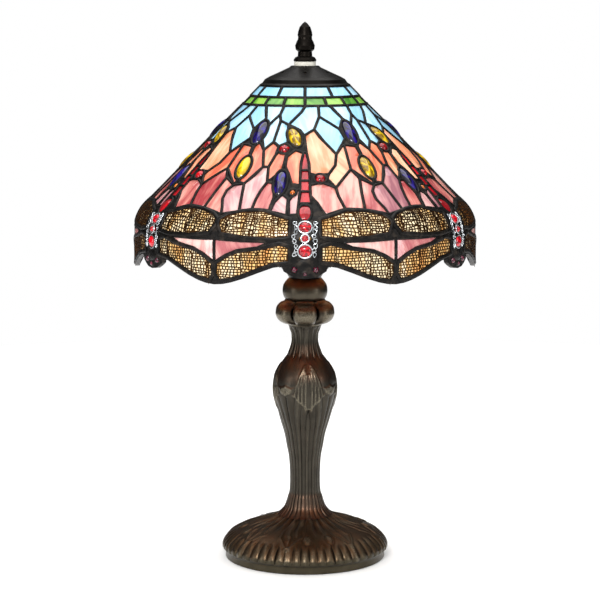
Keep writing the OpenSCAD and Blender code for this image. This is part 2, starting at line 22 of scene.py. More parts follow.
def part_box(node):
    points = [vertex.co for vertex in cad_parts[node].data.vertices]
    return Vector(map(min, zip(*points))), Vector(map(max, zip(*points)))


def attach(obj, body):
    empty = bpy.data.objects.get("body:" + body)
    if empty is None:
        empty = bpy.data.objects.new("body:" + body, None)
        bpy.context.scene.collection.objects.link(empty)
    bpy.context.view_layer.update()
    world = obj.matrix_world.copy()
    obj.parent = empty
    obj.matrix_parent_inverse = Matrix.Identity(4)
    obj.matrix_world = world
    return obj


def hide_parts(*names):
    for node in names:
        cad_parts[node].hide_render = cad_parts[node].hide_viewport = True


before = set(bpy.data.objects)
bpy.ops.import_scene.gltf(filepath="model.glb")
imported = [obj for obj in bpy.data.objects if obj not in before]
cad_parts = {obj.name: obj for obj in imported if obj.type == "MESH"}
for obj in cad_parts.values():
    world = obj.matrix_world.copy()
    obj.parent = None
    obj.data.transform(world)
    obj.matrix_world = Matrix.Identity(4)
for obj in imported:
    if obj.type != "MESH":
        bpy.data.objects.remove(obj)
MM = 0.001
# Radius of the shade's surface at its crown, in millimetres, and its slope from the vertical
CROWN_R, SLOPE_DEG = 38.5, 44.6
# Radius of the bend from the cone into the skirt, in millimetres
BEND_R = 31
LOG = logging.getLogger("lamp")

Array = np.ndarray
Relief = Callable[[Array, Array, Array], Array]


# ------------------------------------------------------------------ colours and shader nodes
def linear(code: str) -> tuple[float, float, float, float]:
    """Turns an sRGB hex colour into a linear RGBA one.

    Args:
        code: A colour such as "#8a5236".

    Returns:
        The linear red, green, blue and an alpha of 1.
    """
    parts = [int(code[i : i + 2], 16) / 255 for i in (1, 3, 5)]
    low = 0.04045
    power = 2.4
    r, g, b = [c / 12.92 if c <= low else ((c + 0.055) / 1.055) ** power for c in parts]
    return (r, g, b, 1.0)


def add(
    tree: bpy.types.NodeTree, kind: str, inputs: dict[Any, Any] | None = None, **settings: Any
) -> bpy.types.Node:
    """Adds one shader node with its settings, values and links.

    Args:
        tree: The node tree to add to.
        kind: The node's type, such as "ShaderNodeTexNoise".
        inputs: Socket name or index to a value, or to an output socket that is linked in.
        settings: Properties of the node itself.

    Returns:
        The new node.
    """
    made = tree.nodes.new(kind)
    for key, value in settings.items():
        setattr(made, key, value)
    for key, value in (inputs or {}).items():
        if isinstance(value, bpy.types.NodeSocket):
            tree.links.new(value, made.inputs[key])
        else:
            made.inputs[key].default_value = value
    return made


def ramp(
    tree: bpy.types.NodeTree, factor: bpy.types.NodeSocket, stops: Sequence[tuple[float, str]]
) -> bpy.types.NodeSocket:
    """Adds a colour ramp.

    Args:
        tree: The node tree to add to.
        factor: The value that picks the colour.
        stops: Pairs of a position and an sRGB hex colour, in order.

    Returns:
        The ramp's colour socket.
    """
    made = add(tree, "ShaderNodeValToRGB", {"Fac": factor})
    elements = made.color_ramp.elements
    while len(elements) < len(stops):
        elements.new(0.5)
    for element, (place, code) in zip(elements, stops):
        element.position = place
        element.color = linear(code)
    return made.outputs["Color"]


def mixed(tree: bpy.types.NodeTree, factor: Any, a: Any, b: Any, blend: str = "MIX") -> bpy.types.NodeSocket:
    """Mixes two colours.

    Args:
        tree: The node tree to add to.
        factor: The share of b, a value or a socket.
        a: The first colour, a value or a socket.
        b: The second colour, a value or a socket.
        blend: The blend type.

    Returns:
        The mixed colour's socket.
    """
    made = add(tree, "ShaderNodeMix", {0: factor, 6: a, 7: b}, data_type="RGBA", blend_type=blend)
    return made.outputs[2]


def spread(
    tree: bpy.types.NodeTree,
    value: bpy.types.NodeSocket,
    low: float,
    high: float,
    to: tuple[float, float] = (0, 1),
) -> bpy.types.NodeSocket:
    """Maps a value from one range to another, held at both ends.

    Args:
        tree: The node tree to add to.
        value: The value to map.
        low: The value that gives to[0].
        high: The value that gives to[1].
        to: The range of the result.

    Returns:
        The mapped value's socket.
    """
    made = add(tree, "ShaderNodeMapRange", {0: value, 1: low, 2: high, 3: to[0], 4: to[1]})
    return made.outputs[0]


def noise(
    tree: bpy.types.NodeTree,
    place: bpy.types.NodeSocket,
    size_mm: float,
    detail: float = 3,
    rough: float = 0.55,
    stretch: tuple[float, float, float] = (1, 1, 1),
) -> bpy.types.NodeSocket:
    """Adds a noise pattern whose patches are about size_mm across.

    Args:
        tree: The node tree to add to.
        place: The coordinates that it follows, in metres.
        size_mm: The size of a patch.
        detail: Octaves of finer noise.
        rough: How strong the finer octaves are.
        stretch: Scale of the coordinates along each axis; under 1 draws the pattern out.

    Returns:
        The noise value's socket.
    """
    moved = add(tree, "ShaderNodeMapping", {"Vector": place, "Scale": stretch})
    settings = {"Vector": moved.outputs[0], "Scale": 1 / (size_mm * MM), "Detail": detail, "Roughness": rough}
    return add(tree, "ShaderNodeTexNoise", settings).outputs[0]


def bumped(
    tree: bpy.types.NodeTree, height: bpy.types.NodeSocket, depth_mm: float, strength: float = 1.0
) -> bpy.types.NodeSocket:
    """Turns a height into a surface normal.

    Args:
        tree: The node tree to add to.
        height: The height, from 0 to 1.
        depth_mm: How far the surface moves at a height of 1.
        strength: The bump's strength.

    Returns:
        The normal's socket.
    """
    made = add(tree, "ShaderNodeBump", {"Strength": strength, "Distance": depth_mm * MM, "Height": height})
    return made.outputs[0]


# ------------------------------------------------------------------ finishes
@dataclass(frozen=True)
class Finish:
    """A material, and the name of its slot in the record.

    Attributes:
        name: What the finish is, in a maker's words.
        slot: The record's material slot; not used.
    """

    name: str
    slot: str

    def material(self) -> bpy.types.Material:
        """Builds the material, or returns it if it is there already."""
        known = bpy.data.materials.get(self.name)
        if known:
            return known
        made = bpy.data.materials.new(self.name)
        made.use_nodes = True
        tree = made.node_tree
        shader = tree.nodes["Principled BSDF"]
        coordinates = add(tree, "ShaderNodeTexCoord")
        self.paint(tree, shader, coordinates.outputs["Object"])
        return made

    def paint(self, tree: bpy.types.NodeTree, shader: bpy.types.Node, place: bpy.types.NodeSocket) -> None:
        """Sets the shader up; each finish has its own.

        Args:
            tree: The material's node tree.
            shader: Its Principled node.
            place: Object coordinates, in metres.
        """
        raise NotImplementedError

    def dress(self, piece: bpy.types.Object) -> bpy.types.Object:
        """Gives the finish to a piece as its only material.

        Args:
            piece: The object to dress.

        Returns:
            The same object.
        """
        piece.data.materials.clear()
        piece.data.materials.append(self.material())
        return piece


def times(tree: bpy.types.NodeTree, a: Any, b: Any) -> bpy.types.NodeSocket:
    """Multiplies two values, of which either may be a socket."""
    return add(tree, "ShaderNodeMath", {0: a, 1: b}, operation="MULTIPLY").outputs[0]


def attribute(tree: bpy.types.NodeTree, name: str) -> bpy.types.Node:
    """Adds a node that reads the piece's own attribute of that name."""
    return add(tree, "ShaderNodeAttribute", attribute_name=name)


@dataclass(frozen=True)
class PatinatedBronze(Finish):
    """Cast bronze, browned with liver of sulphur and rubbed back on its high spots.

    The eye sees a near-black brown in the hollows, a copper tint on what faces up that is
    painted light from above, and thin pale rubbed metal along the ridges.

    Attributes:
        hollow: Colour in the recesses.
        body: Colour of the plain walls.
        top_light_tint: Colour painted on what faces up, as light from above falls on it.
        ridge: Colour of the rubbed ridges.
        rough: Roughness of the plain walls.
        top_light_share: How strongly the painted top light shows.
    """

    hollow: str = "#15120f"
    body: str = "#4a443a"
    top_light_tint: str = "#6e4229"
    ridge: str = "#968d79"
    rough: float = 0.33
    top_light_share: float = 0.8

    def paint(
        self, tree: bpy.types.NodeTree, shader: bpy.types.Node, place: bpy.types.NodeSocket
    ) -> None:
        """See Finish.paint."""
        relief = attribute(tree, "relief").outputs["Fac"]
        cloud = noise(tree, place, 14, 4, 0.6)
        grain = noise(tree, place, 1.1, 3, 0.6)
        normal = add(tree, "ShaderNodeNewGeometry").outputs["Normal"]
        # painted light: what faces up takes a copper tint, as light from above falls on it
        up = spread(tree, add(tree, "ShaderNodeSeparateXYZ", {0: normal}).outputs[2], 0.1, 0.7)
        patches = spread(tree, cloud, 0.32, 0.62, (0.35, 1.0))
        copper = times(tree, times(tree, up, patches), self.top_light_share)
        wall = mixed(tree, spread(tree, cloud, 0.4, 0.75, (0, 0.4)), linear(self.body), linear(self.hollow))
        wall = mixed(tree, copper, wall, linear(self.top_light_tint))
        wall = mixed(tree, spread(tree, relief, 0.52, 0.2), wall, linear(self.hollow))
        rubbed = times(tree, spread(tree, relief, 0.72, 1.0), spread(tree, grain, 0.35, 0.75, (0.05, 0.6)))
        wall = mixed(tree, rubbed, wall, linear(self.ridge))
        tree.links.new(wall, shader.inputs["Base Color"])
        shader.inputs["Metallic"].default_value = 0.95
        rough = spread(tree, grain, 0.3, 0.75, (self.rough - 0.06, self.rough + 0.14))
        tree.links.new(rough, shader.inputs["Roughness"])
        tree.links.new(bumped(tree, grain, 0.1, 0.3), shader.inputs["Normal"])


@dataclass(frozen=True)
class OpalescentGlass(Finish):
    """Rolled opalescent art glass, whose colours were poured together and drawn out in streaks.

    The eye sees soft streaks that run down the sheet, panes that differ in tint, and a faint
    glow painted in as emission, in place of light that the milky glass passes from the other side.

    Attributes:
        pale: The lightest streak.
        main: The colour of most of the sheet.
        deep: The strongest streak.
        streak_mm: Width of a streak.
        glow: Strength of the painted glow, which stands in for the light that comes through.
        strength: How strongly the streaks show, from 0 to 1.
    """

    pale: str = "#f3dccb"
    main: str = "#e0a58c"
    deep: str = "#c86b5a"
    streak_mm: float = 5.0
    glow: float = 0.14
    strength: float = 1.0

    def paint(self, tree: bpy.types.NodeTree, shader: bpy.types.Node, place: bpy.types.NodeSocket) -> None:
        """See Finish.paint."""
        flow = attribute(tree, "flow").outputs["Vector"]
        tint = attribute(tree, "tint").outputs["Fac"]
        streaks = noise(tree, flow, self.streak_mm, 3, 0.55, (1, 0.16, 1))
        swirl = noise(tree, flow, self.streak_mm * 3.2, 2, 0.5, (1, 0.45, 1))
        both = add(tree, "ShaderNodeMath", {0: streaks, 1: swirl}, operation="ADD")
        shift = spread(tree, tint, 0, 1, (-0.24, 0.24))
        level = add(tree, "ShaderNodeMath", {0: both.outputs[0], 1: shift}, operation="ADD")
        reach = 0.26 + 0.3 * (1 - self.strength)
        factor = spread(tree, level.outputs[0], 1 - reach, 1 + reach)
        colour = ramp(tree, factor, [(0.0, self.pale), (0.45, self.main), (1.0, self.deep)])
        hairs = noise(tree, flow, self.streak_mm * 0.45, 2, 0.6, (1, 0.1, 1))
        wisp = spread(tree, hairs, 0.58, 0.8, (0, 0.32 * self.strength))
        colour = mixed(tree, wisp, colour, linear(self.pale))
        tree.links.new(colour, shader.inputs["Base Color"])
        # painted glow: the glass gives off its own colour as light, in place of light that comes through it
        tree.links.new(colour, shader.inputs["Emission Color"])
        shader.inputs["Emission Strength"].default_value = self.glow
        shader.inputs["Roughness"].default_value = 0.16
        shader.inputs["IOR"].default_value = 1.52
        shader.inputs["Coat Weight"].default_value = 0.15
        shader.inputs["Coat Roughness"].default_value = 0.06
        ripple = noise(tree, flow, 6.5, 2, 0.5, (1, 0.6, 1))
        tree.links.new(bumped(tree, ripple, 0.35, 0.6), shader.inputs["Normal"])


@dataclass(frozen=True)
class PressedJewel(Finish):
    """A pressed and fire-polished glass cabochon.

    The eye sees a deep, clear colour with a hard, small highlight; a lighter heart, a darker rim and a faint
    glow are painted in, as light passing through the dome would show.

    Attributes:
        rim: Colour painted towards the edge, as shade where the glass is seen edge on.
        heart: Colour painted in the middle, as light that passes through the dome.
        glow: Strength of the painted glow, which stands in for the light that comes through.
    """

    rim: str = "#14062f"
    heart: str = "#3a1687"
    glow: float = 0.12

    def paint(self, tree: bpy.types.NodeTree, shader: bpy.types.Node, place: bpy.types.NodeSocket) -> None:
        """See Finish.paint."""
        # painted light and shade: the dome is darker at its rim and lighter at its heart, by its height
        middle = attribute(tree, "relief").outputs["Fac"]
        cloud = noise(tree, place, 4, 3, 0.6)
        stray = spread(tree, cloud, 0.25, 0.75, (-0.3, 0.3))
        factor = add(tree, "ShaderNodeMath", {0: middle, 1: stray}, operation="ADD", use_clamp=True)
        colour = mixed(tree, factor.outputs[0], linear(self.rim), linear(self.heart))
        tree.links.new(colour, shader.inputs["Base Color"])
        tree.links.new(colour, shader.inputs["Emission Color"])
        shader.inputs["Emission Strength"].default_value = self.glow
        shader.inputs["Roughness"].default_value = 0.07
        shader.inputs["IOR"].default_value = 1.54
        shader.inputs["Coat Weight"].default_value = 0.1
        shader.inputs["Coat Roughness"].default_value = 0.03
        tree.links.new(bumped(tree, noise(tree, place, 3, 2), 0.25, 0.35), shader.inputs["Normal"])


@dataclass(frozen=True)
class PatinatedSolder(Finish):
    """Soft solder run over copper foil and blackened with patina.

    The eye sees a near-black bead with a dull sheen and brown, coppery breaks.
    """

    dark: str = "#0f0d0c"
    worn: str = "#3a322b"
    rough: float = 0.34

    def paint(self, tree: bpy.types.NodeTree, shader: bpy.types.Node, place: bpy.types.NodeSocket) -> None:
        """See Finish.paint."""
        cloud = noise(tree, place, 7, 4, 0.65)
        colour = mixed(tree, spread(tree, cloud, 0.5, 0.75), linear(self.dark), linear(self.worn))
        tree.links.new(colour, shader.inputs["Base Color"])
        shader.inputs["Metallic"].default_value = 0.7
        rough = spread(tree, cloud, 0.3, 0.7, (self.rough, self.rough + 0.22))
        tree.links.new(rough, shader.inputs["Roughness"])
        tree.links.new(bumped(tree, noise(tree, place, 2.4, 3), 0.2, 0.5), shader.inputs["Normal"])


@dataclass(frozen=True)
class SpunMetal(Finish):
    """Sheet or bar metal, spun, drawn or turned, so that fine lines run round or along it.

    Attributes:
        light: Colour of the bright metal.
        dull: Colour where it has tarnished.
        rough: Its roughness.
        line_mm: Spacing of the lines; the real ones are finer and are drawn coarse to show.
    """

    light: str = "#c9a868"
    dull: str = "#8f7440"
    rough: float = 0.3
    line_mm: float = 0.6

    def paint(self, tree: bpy.types.NodeTree, shader: bpy.types.Node, place: bpy.types.NodeSocket) -> None:
        """See Finish.paint."""
        cloud = noise(tree, place, 9, 4, 0.6)
        colour = mixed(tree, spread(tree, cloud, 0.42, 0.72), linear(self.light), linear(self.dull))
        tree.links.new(colour, shader.inputs["Base Color"])
        shader.inputs["Metallic"].default_value = 1.0
        lines = noise(tree, place, self.line_mm, 2, 0.5, (0.08, 0.08, 1))
        rough = spread(tree, lines, 0.25, 0.75, (self.rough - 0.07, self.rough + 0.12))
        tree.links.new(rough, shader.inputs["Roughness"])
        tree.links.new(bumped(tree, lines, 0.05, 0.3), shader.inputs["Normal"])


@dataclass(frozen=True)
class Moulded(Finish):
    """Moulded plastic, rubber, fibre or nylon, with the fine texture of its tool.

    Attributes:
        colour: Its colour.
        shade: A darker tone in the mottle.
        rough: Its roughness.
        grit_mm: Size of the texture's grains.
        depth_mm: Depth of the texture.
    """

    colour: str = "#241d19"
    shade: str = "#15110f"
    rough: float = 0.4
    grit_mm: float = 0.9
    depth_mm: float = 0.06

    def paint(self, tree: bpy.types.NodeTree, shader: bpy.types.Node, place: bpy.types.NodeSocket) -> None:
        """See Finish.paint."""
        mottle = noise(tree, place, 8, 4, 0.65)
        colour = mixed(tree, spread(tree, mottle, 0.35, 0.7), linear(self.colour), linear(self.shade))
        tree.links.new(colour, shader.inputs["Base Color"])
        grit = noise(tree, place, self.grit_mm, 3, 0.6)
        rough = spread(tree, grit, 0.3, 0.7, (self.rough - 0.08, self.rough + 0.1))
        tree.links.new(rough, shader.inputs["Roughness"])
        shader.inputs["IOR"].default_value = 1.5
        tree.links.new(bumped(tree, grit, self.depth_mm, 0.5), shader.inputs["Normal"])


@dataclass(frozen=True)
class FrostedGlass(Finish):
    """A bulb's soda-lime envelope with a white coating inside: milky, with a soft highlight."""

    white: str = "#f7f3ea"
    warm: str = "#efe4cd"

    def paint(self, tree: bpy.types.NodeTree, shader: bpy.types.Node, place: bpy.types.NodeSocket) -> None:
        """See Finish.paint."""
        cloud = noise(tree, place, 22, 2, 0.4)
        colour = mixed(tree, spread(tree, cloud, 0.3, 0.75), linear(self.white), linear(self.warm))
        tree.links.new(colour, shader.inputs["Base Color"])
        tree.links.new(colour, shader.inputs["Emission Color"])
        shader.inputs["Emission Strength"].default_value = 0.1
        shader.inputs["Roughness"].default_value = 0.12
        shader.inputs["IOR"].default_value = 1.52


# ------------------------------------------------------------------ making pieces
class Body(str, Enum):
    """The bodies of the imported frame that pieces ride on."""

    BASE = "base"
    KNOB = "switch_knob"
    SLEEVE_LEFT = "sleeve_left"
    SLEEVE_RIGHT = "sleeve_right"
    BULB_BASE = "bulb_base"
    BULB = "bulb"
    SHADE = "shade"
    INSERT = "finial_insert"
    FINIAL = "finial"


def piece(
    mesh: bpy.types.Mesh,
    name: str,
    body: Body,
    finish: Finish,
    stands_for: Sequence[str] = (),
    crease_deg: float = 35,
) -> bpy.types.Object:
    """Makes a finished piece of the lamp from a mesh that is already in its place.

    Args:
        mesh: The mesh, in metres, in the lamp's frame.
        name: The piece's name.
        body: The body that it moves with.
        finish: Its finish.
        stands_for: CAD nodes that it replaces.
        crease_deg: Edges sharper than this stay sharp.

    Returns:
        The new object.
    """
    mesh.name = name
    made = bpy.data.objects.new(name, mesh)
    bpy.context.scene.collection.objects.link(made)
    mesh.shade_smooth()
    mesh.set_sharp_from_angle(angle=math.radians(crease_deg))
    finish.dress(made)
    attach(made, body.value)
    if stands_for:
        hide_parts(*stands_for)
    LOG.info("%s: %d faces", name, len(mesh.polygons))
    return made


def meshed(shape: bmesh.types.BMesh) -> bpy.types.Mesh:
    """Turns a bmesh into a mesh and frees it."""
    mesh = bpy.data.meshes.new("shape")
    shape.to_mesh(mesh)
    shape.free()
    return mesh


def write_values(mesh: bpy.types.Mesh, name: str, values: Array) -> None:
    """Writes one number, or one vector, for each point of a mesh.

    Args:
        mesh: The mesh to write on.
        name: The attribute's name.
        values: An array of n numbers, or of n by 3.
    """
    kind, field = ("FLOAT", "value") if values.ndim == 1 else ("FLOAT_VECTOR", "vector")
    made = mesh.attributes.new(name, kind, "POINT")
    made.data.foreach_set(field, np.ascontiguousarray(values, dtype=np.float32).ravel())


def points(mesh: bpy.types.Mesh) -> Array:
    """Gives a mesh's points as an n by 3 array, in metres."""
    found = np.empty(len(mesh.vertices) * 3, dtype=np.float32)
    mesh.vertices.foreach_get("co", found)
    return found.reshape(-1, 3).astype(float)


def move_points(mesh: bpy.types.Mesh, places: Array) -> None:
    """Puts a mesh's points at the given places, in metres."""
    mesh.vertices.foreach_set("co", places.astype(np.float32).ravel())
    mesh.update()


def merged_copy(node: str) -> bmesh.types.BMesh:
    """Copies a CAD node's loose triangles into one joined bmesh."""
    shape = bmesh.new()
    shape.from_mesh(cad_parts[node].data)
    bmesh.ops.remove_doubles(shape, verts=shape.verts, dist=2e-6)
    return shape


def smoothed(profile: Sequence[tuple[float, float]], step_mm: float) -> list[tuple[float, float]]:
    """Draws a soft curve through a profile's points.

    Args:
        profile: Points as (radius, height) in millimetres.
        step_mm: Distance between the new points.

    Returns:
        The denser profile, with its first and last points kept.
    """
    knots = [Vector((r, z, 0)) for r, z in profile]
    knots = [knots[0] * 2 - knots[1]] + knots + [knots[-1] * 2 - knots[-2]]
    made: list[tuple[float, float]] = []
    for a, b, c, d in zip(knots, knots[1:], knots[2:], knots[3:]):
        count = max(1, round((c - b).length / step_mm))
        for k in range(count):
            t = k / count
            spot = 0.5 * (
                2 * b + (c - a) * t + (2 * a - 5 * b + 4 * c - d) * t**2
                + (3 * b - a - 3 * c + d) * t**3
            )
            made.append((max(spot.x, 0.0), spot.y))
    return made + [profile[-1]]


def turned(profile: Sequence[tuple[float, float]], steps: int = 96) -> bmesh.types.BMesh:
    """Turns a closed profile, or one that ends on the axis, round Z.

    Args:
        profile: Points as (radius, height) in millimetres.
        steps: Number of steps round the axis.

    Returns:
        The closed shape, in metres.
    """
    shape = bmesh.new()
    line = [shape.verts.new((r * MM, 0, z * MM)) for r, z in profile]
    for a, b in zip(line, line[1:]):
        shape.edges.new((a, b))
    if profile[0][0] > 0:
        shape.edges.new((line[-1], line[0]))
    bmesh.ops.spin(
        shape, geom=shape.verts[:] + shape.edges[:], axis=(0, 0, 1), cent=(0, 0, 0),
        angle=math.tau, steps=steps, use_merge=True,
    )
    bmesh.ops.remove_doubles(shape, verts=shape.verts, dist=1e-6)
    bmesh.ops.recalc_face_normals(shape, faces=shape.faces)
    return shape


def raised(mesh: bpy.types.Mesh, relief: Relief, depth_mm: float, still: float = 0.6) -> None:
    """Moves a turned mesh's points along its normals and writes the "relief" attribute.

    Args:
        mesh: The mesh to shape.
        relief: Gives a height from 0 to 1 for arrays of degrees, radius and height in mm.
        depth_mm: Distance between a height of 0 and one of 1.
        still: The height at which a point stays where it is.
    """
    places = points(mesh)
    normals = np.empty(len(mesh.vertices) * 3, dtype=np.float32)
    mesh.vertex_normals.foreach_get("vector", normals)
    x, y, z = places.T / MM
    heights = relief(np.degrees(np.arctan2(x, -y)), np.hypot(x, y), z)
    shift = (heights - still) * depth_mm * MM
    move_points(mesh, places + normals.reshape(-1, 3) * shift[:, None])
    write_values(mesh, "relief", heights)


def wrapped(angle: Array, period: float) -> Array:
    """Brings angles to within half a period of 0."""
    return (angle + period / 2) % period - period / 2


def soft(value: Array, edge: float) -> Array:
    """Steps softly from 0 to 1 over the width edge, centred on a value of 0."""
    t = np.clip(value / edge + 0.5, 0, 1)
    return t * t * (3 - 2 * t)


def tube(
    runs: Iterable[Array], radius_mm: float, closed: bool = True, sides: int = 1
) -> bpy.types.Mesh:
    """Draws a round bead along each run of points.

    Args:
        runs: Arrays of n by 3 places, in metres.
        radius_mm: Radius of the bead.
        closed: Whether each run comes back to its start.
        sides: The curve's bevel resolution; 1 gives six sides.

    Returns:
        The beads as one mesh.
    """
    curve = bpy.data.curves.new("run", "CURVE")
    curve.dimensions = "3D"
    curve.bevel_depth = radius_mm * MM
    curve.bevel_resolution = sides
    curve.use_fill_caps = not closed
    for run in runs:
        spline = curve.splines.new("POLY")
        spline.points.add(len(run) - 1)
        spline.points.foreach_set("co", np.c_[run, np.ones(len(run))].ravel())
        spline.use_cyclic_u = closed
    holder = bpy.data.objects.new("run", curve)
    mesh = bpy.data.meshes.new_from_object(holder)
    bpy.data.objects.remove(holder)
    bpy.data.curves.remove(curve)
    return mesh


# ------------------------------------------------------------------ the shade's surface
@dataclass(frozen=True)
class ShadeSurface:
    """The middle surface of the shade: a cone, a bend and a short upright skirt.

    A place on it is an azimuth in radians from the front and a distance down the slant.

    Attributes:
        crown_r: Radius at the top of the slant, in millimetres, as are the rest.
        skirt_r: Radius of the skirt.
        bend_r: Radius of the bend.
        slope: Angle of the cone from the vertical, in radians.
        crown_z: Height of the top of the slant.
    """

    crown_r: float
    skirt_r: float
    bend_r: float
    slope: float
    crown_z: float

    @property
    def bend_start(self) -> float:
        """Slant distance at which the bend starts."""
        fall = self.skirt_r - self.crown_r - self.bend_r * (1 - math.cos(self.slope))
        return fall / math.sin(self.slope)

    @property
    def bend_end(self) -> float:
        """Slant distance at which the bend ends."""
        return self.bend_start + self.bend_r * self.slope

    @property
    def bend_z(self) -> float:
        """Height of the bend's end."""
        drop = self.bend_start * math.cos(self.slope) + self.bend_r * math.sin(self.slope)
        return self.crown_z - drop

    def place(self, azimuth: Array, slant: Array, lift: Array | float = 0.0) -> Array:
        """Turns places on the surface into points.

        Args:
            azimuth: Radians from the front.
            slant: Millimetres down the slant.
            lift: Millimetres outwards from the surface.

        Returns:
            The points, n by 3, in metres.
        """
        tilt = np.clip((self.bend_end - slant) / self.bend_r, 0, self.slope)
        on_cone = slant < self.bend_start
        on_bend = self.skirt_r - self.bend_r * (1 - np.cos(tilt))
        radius = np.where(on_cone, self.crown_r + slant * math.sin(self.slope), on_bend)
        below = np.maximum(slant - self.bend_end, 0)
        height = np.where(
            on_cone,
            self.crown_z - slant * math.cos(self.slope),
            self.bend_z + self.bend_r * np.sin(tilt) - below,
        )
        radius = radius + lift * np.cos(tilt)
        height = height + lift * np.sin(tilt)
        return np.stack([radius * np.sin(azimuth), -radius * np.cos(azimuth), height], -1) * MM

    def locate(self, places: Array) -> tuple[Array, Array, Array]:
        """Finds azimuth, slant and lift of points near the surface.

        Args:
            places: The points, n by 3, in metres.

        Returns:
            Azimuth in radians, slant and lift in millimetres.
        """
        x, y, z = places.T / MM
        radius = np.hypot(x, y)
        out, up = radius - (self.skirt_r - self.bend_r), z - self.bend_z
        turn = np.arctan2(up, out)
        on_skirt, on_cone = up < 0, turn > self.slope
        sin, cos = math.sin(self.slope), math.cos(self.slope)
        away, drop = radius - self.crown_r, self.crown_z - z
        bend_s = self.bend_start + (self.slope - turn) * self.bend_r
        slant = np.where(on_skirt, self.bend_end - up, np.where(on_cone, away * sin + drop * cos, bend_s))
        bend_d = np.hypot(out, up) - self.bend_r
        lift = np.where(on_skirt, radius - self.skirt_r, np.where(on_cone, away * cos - drop * sin, bend_d))
        return np.arctan2(x, -y), slant, lift

    def radius(self, slant: Array) -> Array:
        """Radius of the surface at a slant distance, in millimetres."""
        return np.hypot(*(self.place(np.zeros_like(slant), slant)[..., :2].T / MM))

    def normal(self, azimuth: Array, slant: Array) -> Array:
        """Outward unit normals at places on the surface."""
        return (self.place(azimuth, slant, 1.0) - self.place(azimuth, slant, 0.0)) / MM


@dataclass
class Pane:
    """One pane or jewel: the points and the outer outline of one solid of a CAD node.

    Attributes:
        verts: Indices of its points in the joined mesh.
        outline: The outer face's outline as n by 2: azimuth in radians and slant in mm.
        middle: Azimuth and slant of its middle.
    """

    verts: Array
    outline: Array
    middle: Array


def islands(shape: bmesh.types.BMesh) -> list[list[bmesh.types.BMVert]]:
    """Lists the vertices of each separate solid of a bmesh."""
    seen: set[int] = set()
    found = []
    for start in shape.verts:
        if start.index in seen:
            continue
        group, queue = [], [start]
        seen.add(start.index)
        while queue:
            vert = queue.pop()
            group.append(vert)
            for edge in vert.link_edges:
                other = edge.other_vert(vert)
                if other.index not in seen:
                    seen.add(other.index)
                    queue.append(other)
        found.append(group)
    return found


def outline_of(group: list[bmesh.types.BMVert], surface: ShadeSurface) -> Array:
    """Finds the outline of the outer face of one solid that lies in the shade's surface.

    Args:
        group: The solid's vertices.
        surface: The shade's surface.

    Returns:
        The outline, n by 2: azimuth in radians and slant in millimetres.
    """
    faces = list(dict.fromkeys(face for vert in group for face in vert.link_faces))
    middles = np.array([face.calc_center_median() for face in faces])
    azimuth, slant, _ = surface.locate(middles)
    normals = np.array([face.normal for face in faces])
    facing = (normals * surface.normal(azimuth, slant)).sum(1) > 0.7
    outer = dict.fromkeys(face for face, out in zip(faces, facing) if out)
    links: dict[bmesh.types.BMVert, list[bmesh.types.BMVert]] = {}
    for face in outer:
        for edge in face.edges:
            if sum(f in outer for f in edge.link_faces) == 1:
                a, b = edge.verts
                links.setdefault(a, []).append(b)
                links.setdefault(b, []).append(a)
    best: list[bmesh.types.BMVert] = []
    while links:
        start = next(iter(links))
        loop, step = [start], start
        while links.get(step):
            onward = links[step].pop()
            links[onward].remove(step)
            if not links[step]:
                del links[step]
            step = onward
            if step is start:
                break
            loop.append(step)
        links = {k: v for k, v in links.items() if v}
        if len(loop) > len(best):
            best = loop
    azimuth, slant, _ = surface.locate(np.array([vert.co for vert in best]))
    return np.stack([np.unwrap(azimuth), slant], 1)


def widened(outline: Array, by_mm: float, surface: ShadeSurface) -> Array:
    """Moves a closed outline on the surface outwards.

    Args:
        outline: n by 2: azimuth in radians and slant in millimetres.
        by_mm: Distance to move each side.
        surface: The shade's surface.

    Returns:
        The moved outline, n by 2.
    """
    around = surface.radius(outline[:, 1])
    flat = np.stack([(outline[:, 0] - outline[:, 0].mean()) * around, outline[:, 1]], 1)
    side = np.roll(flat, -1, 0) - flat
    area = (flat[:, 0] * np.roll(flat[:, 1], -1) - np.roll(flat[:, 0], -1) * flat[:, 1]).sum()
    side /= np.maximum(np.linalg.norm(side, axis=1, keepdims=True), 1e-9)
    away = np.stack([side[:, 1], -side[:, 0]], 1) * np.sign(area)
    both = away + np.roll(away, 1, 0)
    dots = (away * np.roll(away, 1, 0)).sum(1, keepdims=True)
    moved = both * by_mm / np.maximum(0.45, 1 + dots)
    return outline + np.stack([moved[:, 0] / around, moved[:, 1]], 1)


def evened(outline: Array, step_mm: float, surface: ShadeSurface) -> Array:
    """Adds points to a closed outline and drops those that are too close together.

    Args:
        outline: n by 2: azimuth in radians and slant in millimetres.
        step_mm: Longest distance left between points.
        surface: The shade's surface.

    Returns:
        The outline with even spacing and its corners kept.
    """
    around = surface.radius(outline[:, 1])
    flat = np.stack([outline[:, 0] * around.mean(), outline[:, 1]], 1)
    kept = [0]
    for k in range(1, len(outline)):
        if np.linalg.norm(flat[k] - flat[kept[-1]]) > 0.35:
            kept.append(k)
    made = []
    for a, b in zip(kept, kept[1:] + kept[:1]):
        count = max(1, math.ceil(np.linalg.norm(flat[b] - flat[a]) / step_mm))
        made += [outline[a] + (outline[b] - outline[a]) * k / count for k in range(count)]
    return np.array(made)


